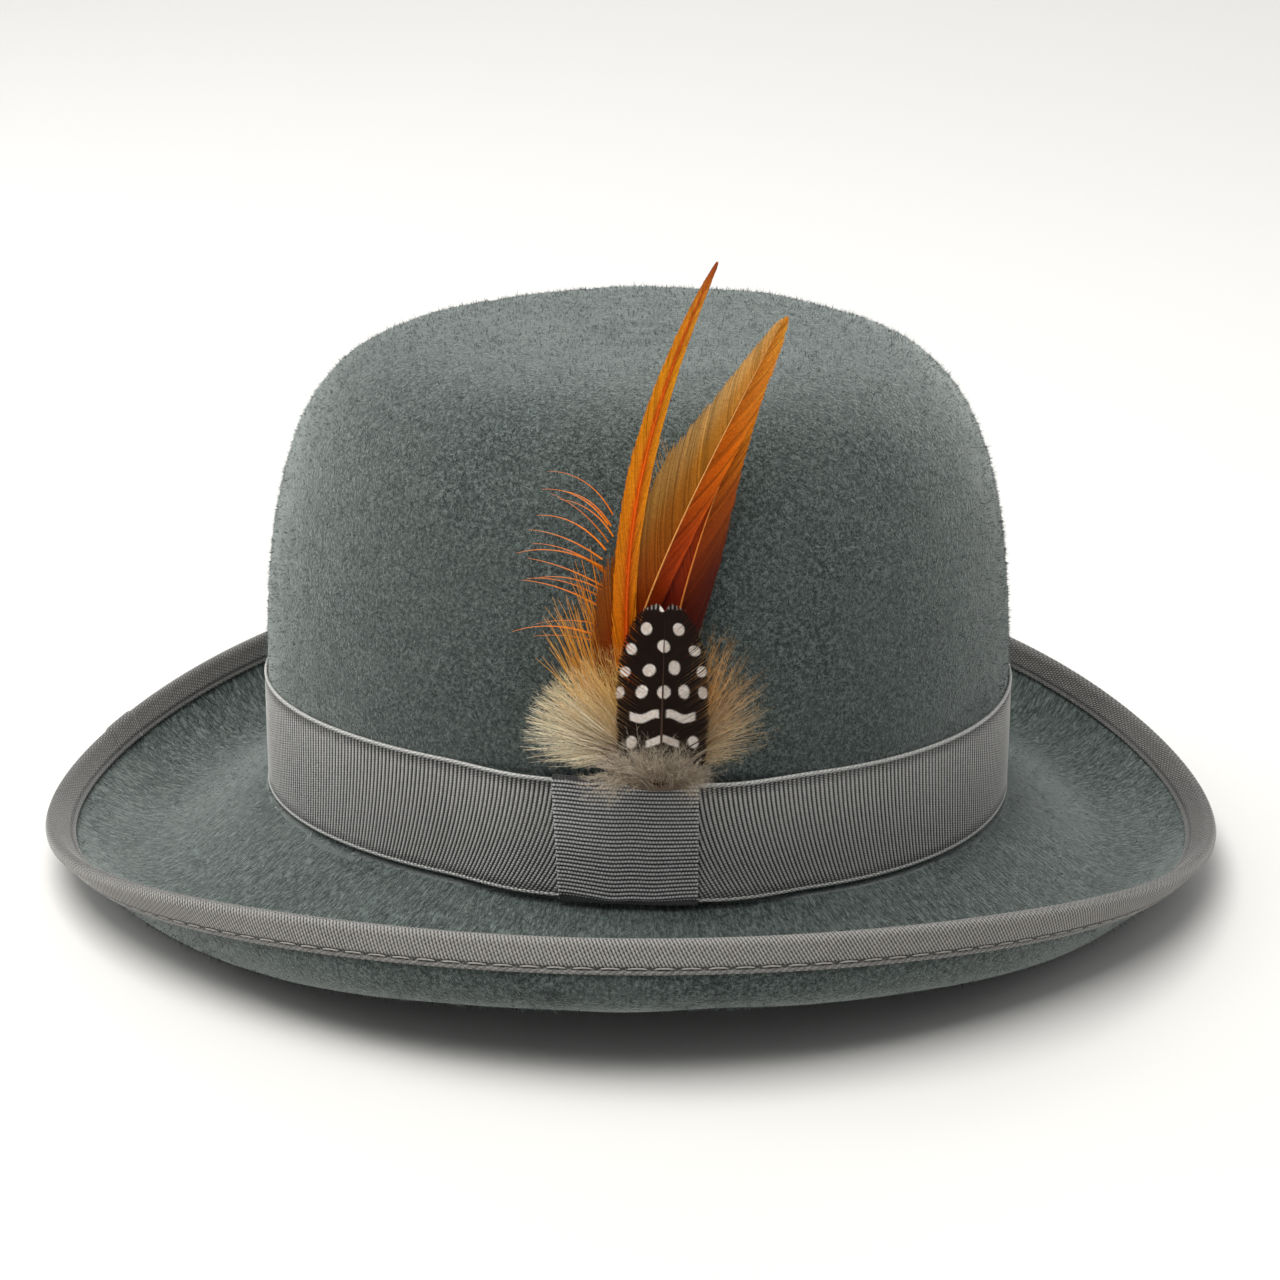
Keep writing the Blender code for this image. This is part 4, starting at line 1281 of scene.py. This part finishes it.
def rust_hackle(finish):
    f = Strands("rust_hackle")
    line = bezier((8.5, -2), (5.0, 38), (37.4, 110.0))
    left = shade((0, (0.10, 0.005, 0.002)), (0.45, (0.20, 0.012, 0.002)), (0.7, (0.46, 0.06, 0.003)),
                 (1, (0.90, 0.28, 0.01)))
    right = shade((0, (0.080, 0.007, 0.003)), (0.42, (0.14, 0.012, 0.004)), (0.62, (0.34, 0.055, 0.005)),
                  (0.80, (0.74, 0.19, 0.006)), (1, (0.96, 0.36, 0.02)))
    edge = shade((0, (0.050, 0.008, 0.006)), (0.5, (0.10, 0.014, 0.008)), (0.7, (0.40, 0.08, 0.008)),
                 (0.86, (0.92, 0.30, 0.01)), (1, (0.98, 0.42, 0.03)))

    half = taper(0.0094, 0.8, 1.05)
    vane(f, line, 1, 0.10, 0.995, lambda t: half(t) * 0.7, lambda t, s: left(t) + 0 * s[..., None],
         leave=24, arrive=8, ragged=0.03, width=1.9, steps=12)
    vane(f, line, -1, 0.10, 0.995, half, lambda t, s: mix(right(t), edge(t), ease(s * 1.5 - 0.25)[..., None]),
         leave=25, arrive=8, ragged=0.035, width=1.9, steps=14)
    pale = shade((0, (0.46, 0.09, 0.02)), (0.6, (0.84, 0.26, 0.05)), (1, (0.80, 0.32, 0.05)))
    f.shaft(line, 0.0003, 0.00038, 0.00008, pale)
    f.finish("rust_hackle_feather", "rust_feather", "rust_hackle", finish)


# Groups of loose barbs: how many, lowest and highest root (x, h) in mm, heading, turn and length in mm
WISPS = (
    (6, (-4.6, 55.0), (-3.6, 62.5), 32, 52, 19.0),
    (8, (-5.2, 40.0), (-5.6, 52.5), 56, 40, 20.5),
    (3, (-6.6, 31.0), (-6.0, 35.0), 72, 22, 19.5),
)


def wisps(finish):
    """Curved loose barbs in groups that sweep out over the crown, and a bunch of straight golden ones."""
    f = Strands("hackle_wisps")
    s = np.linspace(0, 1, 12)[None, :, None]
    for count, low, high, heading, turned, length in WISPS:
        order = np.linspace(0, 1, count)
        base = mix(np.array(low), np.array(high), order[:, None]) * MM + rng.normal(0, 0.0006, (count, 2))
        lean = np.radians(-heading + 10 * (order - 0.5) + rng.normal(0, 5, count))
        bend = np.radians(-turned + rng.normal(0, 9, count))
        long = length * MM * rng.uniform(0.72, 1.08, count)
        warm = np.array([0.85, 0.22, 0.010]) * (1 + rng.normal(0, 0.18, (count, 1, 1)))
        tips = np.array([0.78, 0.24, 0.07])
        hairs(f, base, lean, long, bend, mix(warm, tips, ease(s * 1.2)), 0.00036, 0.0003, 0.0012, 12)
    count = 250
    start = rng.random(count)
    base = np.stack((mix(2.5, -4, start), mix(8, 1, start)), -1) * MM + rng.normal(0, 0.0007, (count, 2))
    heading = np.radians(-mix(5, 25, start) + rng.normal(0, 3.5, count))
    bend = np.radians(rng.normal(3, 9, count))
    length = mix(0.050, 0.034, start) * rng.uniform(0.55, 1.08, count)
    s = np.linspace(0, 1, 10)[None, :, None]
    gold = np.array([0.92, 0.30, 0.010]) * (1 + rng.normal(0, 0.2, (count, 1, 1)))
    pale = np.array([0.90, 0.52, 0.12])
    colours = mix(gold * 0.7, mix(gold, pale, start[:, None, None] ** 1.5), ease(s * 1.4))
    hairs(f, base, heading, length, bend, colours, 0.00036, 0.0007, 0.0009, 10)
    f.finish("hackle_wisps_barbs", "orange_feather", "hackle_wisps", finish)


def fluff(finish, node, side, count, tufts, roots, reach, headings, top, inner, outer):
    """Down that fans out from the ties in small tufts: fine barbs with barbules, warmer higher up."""
    f = Strands(node, 0.003)
    start = rng.random(count)
    gathered = (np.floor(start * tufts) + 0.5 + rng.normal(0, 0.12, count)) / tufts
    base = mix(*(np.array(root) for root in roots), start[:, None]) * MM + rng.normal(0, 0.0009, (count, 2))
    degrees = mix(*headings, start) + rng.normal(0, 8, count)
    towards = mix(*headings, gathered) - degrees
    heading = side * np.radians(degrees)
    bend = side * np.radians(np.minimum(0.8 * towards + rng.normal(0, 20, count), 100 - degrees))
    uneven = 0.6 + 0.75 * noise(np.stack((gathered * 0.02, 0 * start, 0 * start), -1), 0.0017)
    whole = np.interp(start, (0, 0.75, 1), reach)
    length = np.minimum(rng.gamma(9, 1 / 9, count) * uneven, 1.2) * whole
    s = np.linspace(0, 1, 8)[None, :, None]
    share = start[:, None, None]
    warm = mix(np.array(top), np.array(outer), ease(share * 1.5))
    colours = mix(np.array(inner), warm, ease(s * 1.3)) * (1 + rng.normal(0, 0.20, (count, 1, 1)))
    level = rng.uniform(-0.0012, 0.0010, count)
    path, levels = hairs(f, base, heading, length, bend, colours, 0.00015, level, 0.0006)
    soft = slice(None, None, 2)
    barbules(f, path[soft], levels[soft], colours[soft] * 1.1, 12, 0.0017)
    f.finish(node + "_down", "golden_fluff", node, finish)


GUINEA_SPOT = 0.00165


def guinea_colour(x, h):
    """Dark ground with rows of round white spots that follow the barbs, and bars at the bottom."""
    top = 0.0447
    lowered = top - h - 0.10 * np.abs(x)
    # Rows are wider apart lower down: the first is 1.5 mm from the top and the spacing grows by 0.3 mm
    number = (np.sqrt(np.maximum(0.0045**2 + 4 * 0.00016 * (lowered - 0.0015), 0)) - 0.0045) / (2 * 0.00016)
    row_pitch, half = 0.0054, 0.0108
    drop = (number + 0.5) * row_pitch
    row = np.floor(drop / row_pitch)
    shift = np.where(row % 2 == 0, 0.0, 0.5)
    pitch = mix(0.0086, 0.0050, np.clip(row / 4, 0, 1) ** 1.5)
    column = np.round(x / pitch + shift) - shift
    sway = np.sin(row * 12.9 + column * 7.7)
    centre_x = column * pitch + 0.00035 * sway
    centre_drop = (row + 0.5) * row_pitch + 0.00035 * np.sin(row * 5.1 + column * 4.3)
    around = np.arctan2(drop - centre_drop, x - centre_x)
    away = np.hypot((x - centre_x) * 1.12, drop - centre_drop) * (1 + 0.07 * np.sin(2 * around + 5 * sway))
    size = np.where(row == 0, 0.0010, GUINEA_SPOT) * (1 - 0.25 * (np.abs(centre_x) / half) ** 2)
    spot = ease((size - away) / 0.0003 + 0.5) * (row < 5) * (row >= 0)
    wave = 0.00045 * np.sin(np.abs(x) / 0.0011)
    bar = ease((0.00095 - np.abs(drop - 5.55 * row_pitch + wave)) / 0.0003 + 0.5)
    bar = bar * window(np.abs(x), 0.0009, 0.0079, 0.0005)
    chevron = ease((0.0008 - np.abs(drop - 6.5 * row_pitch - 0.25 * np.abs(x))) / 0.0003 + 0.5)
    chevron = chevron * window(np.abs(x), -1, 0.0040, 0.0006)
    low_spot = ease((0.0013 - np.hypot(np.abs(x) - 0.0075, drop - 6.55 * row_pitch)) / 0.0003 + 0.5)
    specks = ease((np.sin(x / 0.00016) - 0.2) * 3) * window(lowered, 0.0002, 0.0016, 0.0005) * 0.4
    white = np.clip(np.maximum.reduce([spot, bar, chevron, low_spot, specks]), 0, 1)[..., None]
    rim = ease((0.0012 - drop) / 0.003)[..., None] * (1 - white)
    ground = mix(np.array([0.016, 0.008, 0.005]), np.array([0.10, 0.030, 0.016]), rim)
    return mix(ground, np.array([0.86, 0.80, 0.76]), white)


def guinea_feather(finish):
    f = Strands("guinea_feather")
    line = bezier((8.0, 0), (8.6, 22), (8.9, 42.0))

    def outside(x, h):
        """True past the feather's egg-shaped outline."""
        widest = 0.0185
        tall = np.where(h > widest, 0.0255, 0.034)
        return (np.abs(x) / 0.0112) ** 2.2 + (np.abs(h - widest) / tall) ** 2.2 > 1

    middle = line(0.5)[0][0]
    for side in (1, -1):
        count, steps = 250, 40
        share = np.linspace(-0.04, 1.0, count)
        start, _ = line(share)
        s = np.linspace(0, 1, steps)
        turn = np.radians(mix(mix(72, 30, share**2)[:, None], mix(58, 40, share)[:, None], s[None, :]))
        turn = turn + rng.normal(0, 0.012, count)[:, None]
        step = np.stack((-np.sin(turn) * side, np.cos(turn)), -1)
        longest = np.full(count, 0.024)
        path = walk(start, step, longest)
        past = outside(path[..., 0] - middle, path[..., 1])
        reach = np.argmax(past, axis=1) / (steps - 1) * longest * (1 + rng.normal(0, 0.012, count))
        path = walk(start, step, reach)
        colours = guinea_colour(path[..., 0] - middle, path[..., 1])
        colours = colours * (1 + rng.normal(0, 0.05, (count, 1, 1)))
        wide = 0.00030 * (1 - 0.5 * s**3)[None, :] + 0 * share[:, None]
        level = 0.0004 * np.cos(s * 2.2)[None, :] + rng.normal(0, 0.00003, count)[:, None]
        f.strips(path, level, wide, colours, 0.3)
    share = np.linspace(-0.05, 0.98, 40)
    f.quill(line(share)[0], 0 * share + 0.0005, mix(0.00036, 0.00006, np.clip(share, 0, 1)),
            shade((0, (0.10, 0.06, 0.04)), (1, (0.02, 0.01, 0.008)))(share))
    count = 760
    start = rng.uniform(-1, 1, count)
    base = np.stack((7.2 + start * 7.5, 0.6 - 0.6 * start), -1) * MM + rng.normal(0, 0.0011, (count, 2))
    heading = np.radians(-6 + start * 95 + rng.normal(0, 30, count))
    bend = np.radians(rng.normal(0, 40, count))
    length = mix(0.0085, 0.0052, (start + 1) / 2) * rng.gamma(7, 1 / 7, count)
    s = np.linspace(0, 1, 8)[None, :, None]
    grey = mix(np.array([0.17, 0.12, 0.08]), np.array([0.72, 0.64, 0.52]), s**0.8)
    colours = grey * (1 + rng.normal(0, 0.22, (count, 1, 1)))
    path, levels = hairs(f, base, heading, length, bend, colours, 0.00011, 0.0011, 0.0006)
    barbules(f, path, levels, colours, 10, 0.0012)
    f.finish("guinea_feather_vane", "guinea_feather", "guinea_feather", finish)


def quill_ties():
    """Thread wound round the quills, as one helix."""
    low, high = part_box("quill_binding")
    middle = np.array([(low.x + high.x) / 2, (low.y + high.y) / 2, 0])
    half = np.array([(high.x - low.x) / 2, (high.y - low.y) / 2, 0]) - 0.00022
    turns, per_turn = 8, 48
    s = np.arange(turns * per_turn + 1) / per_turn
    angle = 2 * np.pi * s
    round_it = np.stack((np.cos(angle), np.sin(angle), 0 * s), -1)
    height = mix(low.z + 0.0002, high.z - 0.0002, s / turns)
    line = middle + half * round_it + height[:, None] * UP
    wound = tubes("quill_ties", line[None], 0.00022)
    n = Nodes("waxed_thread")
    ply = n.noise(n.place(), 0.0003, 2)
    n.shade(Base_Color=n.blend(ply, (0.05, 0.032, 0.02), (0.20, 0.14, 0.09)), Roughness=0.5)
    n.shade(Normal=n.bump(ply, 0.0001))
    piece("quill_ties", wound, n.material, "plume")
    finish_node("quill_binding", n.material)


def plume():
    finish = feather_material("dyed_feather")
    tall_hackle(finish)
    olive_hackle(finish)
    rust_hackle(finish)
    wisps(finish)
    fluff(finish, "left_fluff", -1, 1250, 15, ((4.0, 5.0), (-3.0, 6.0)), (0.0245, 0.0205, 0.009), (6, 104),
          (0.85, 0.50, 0.11), (0.30, 0.22, 0.14), (0.95, 0.84, 0.62))
    fluff(finish, "right_fluff", 1, 620, 13, ((11.0, 4.0), (13.0, 5.5)), (0.031, 0.0140, 0.0075), (10, 104),
          (0.72, 0.36, 0.08), (0.15, 0.09, 0.05), (0.80, 0.64, 0.42))
    guinea_feather(finish)
    quill_ties()


# Assembly

camera()
studio()
felt_body()
felt_nap()
hat_band()
band_keeper()
brim_binding()
sweatband()
sweatband_bow()
lining(satin_material())
carried_nodes()
plume()
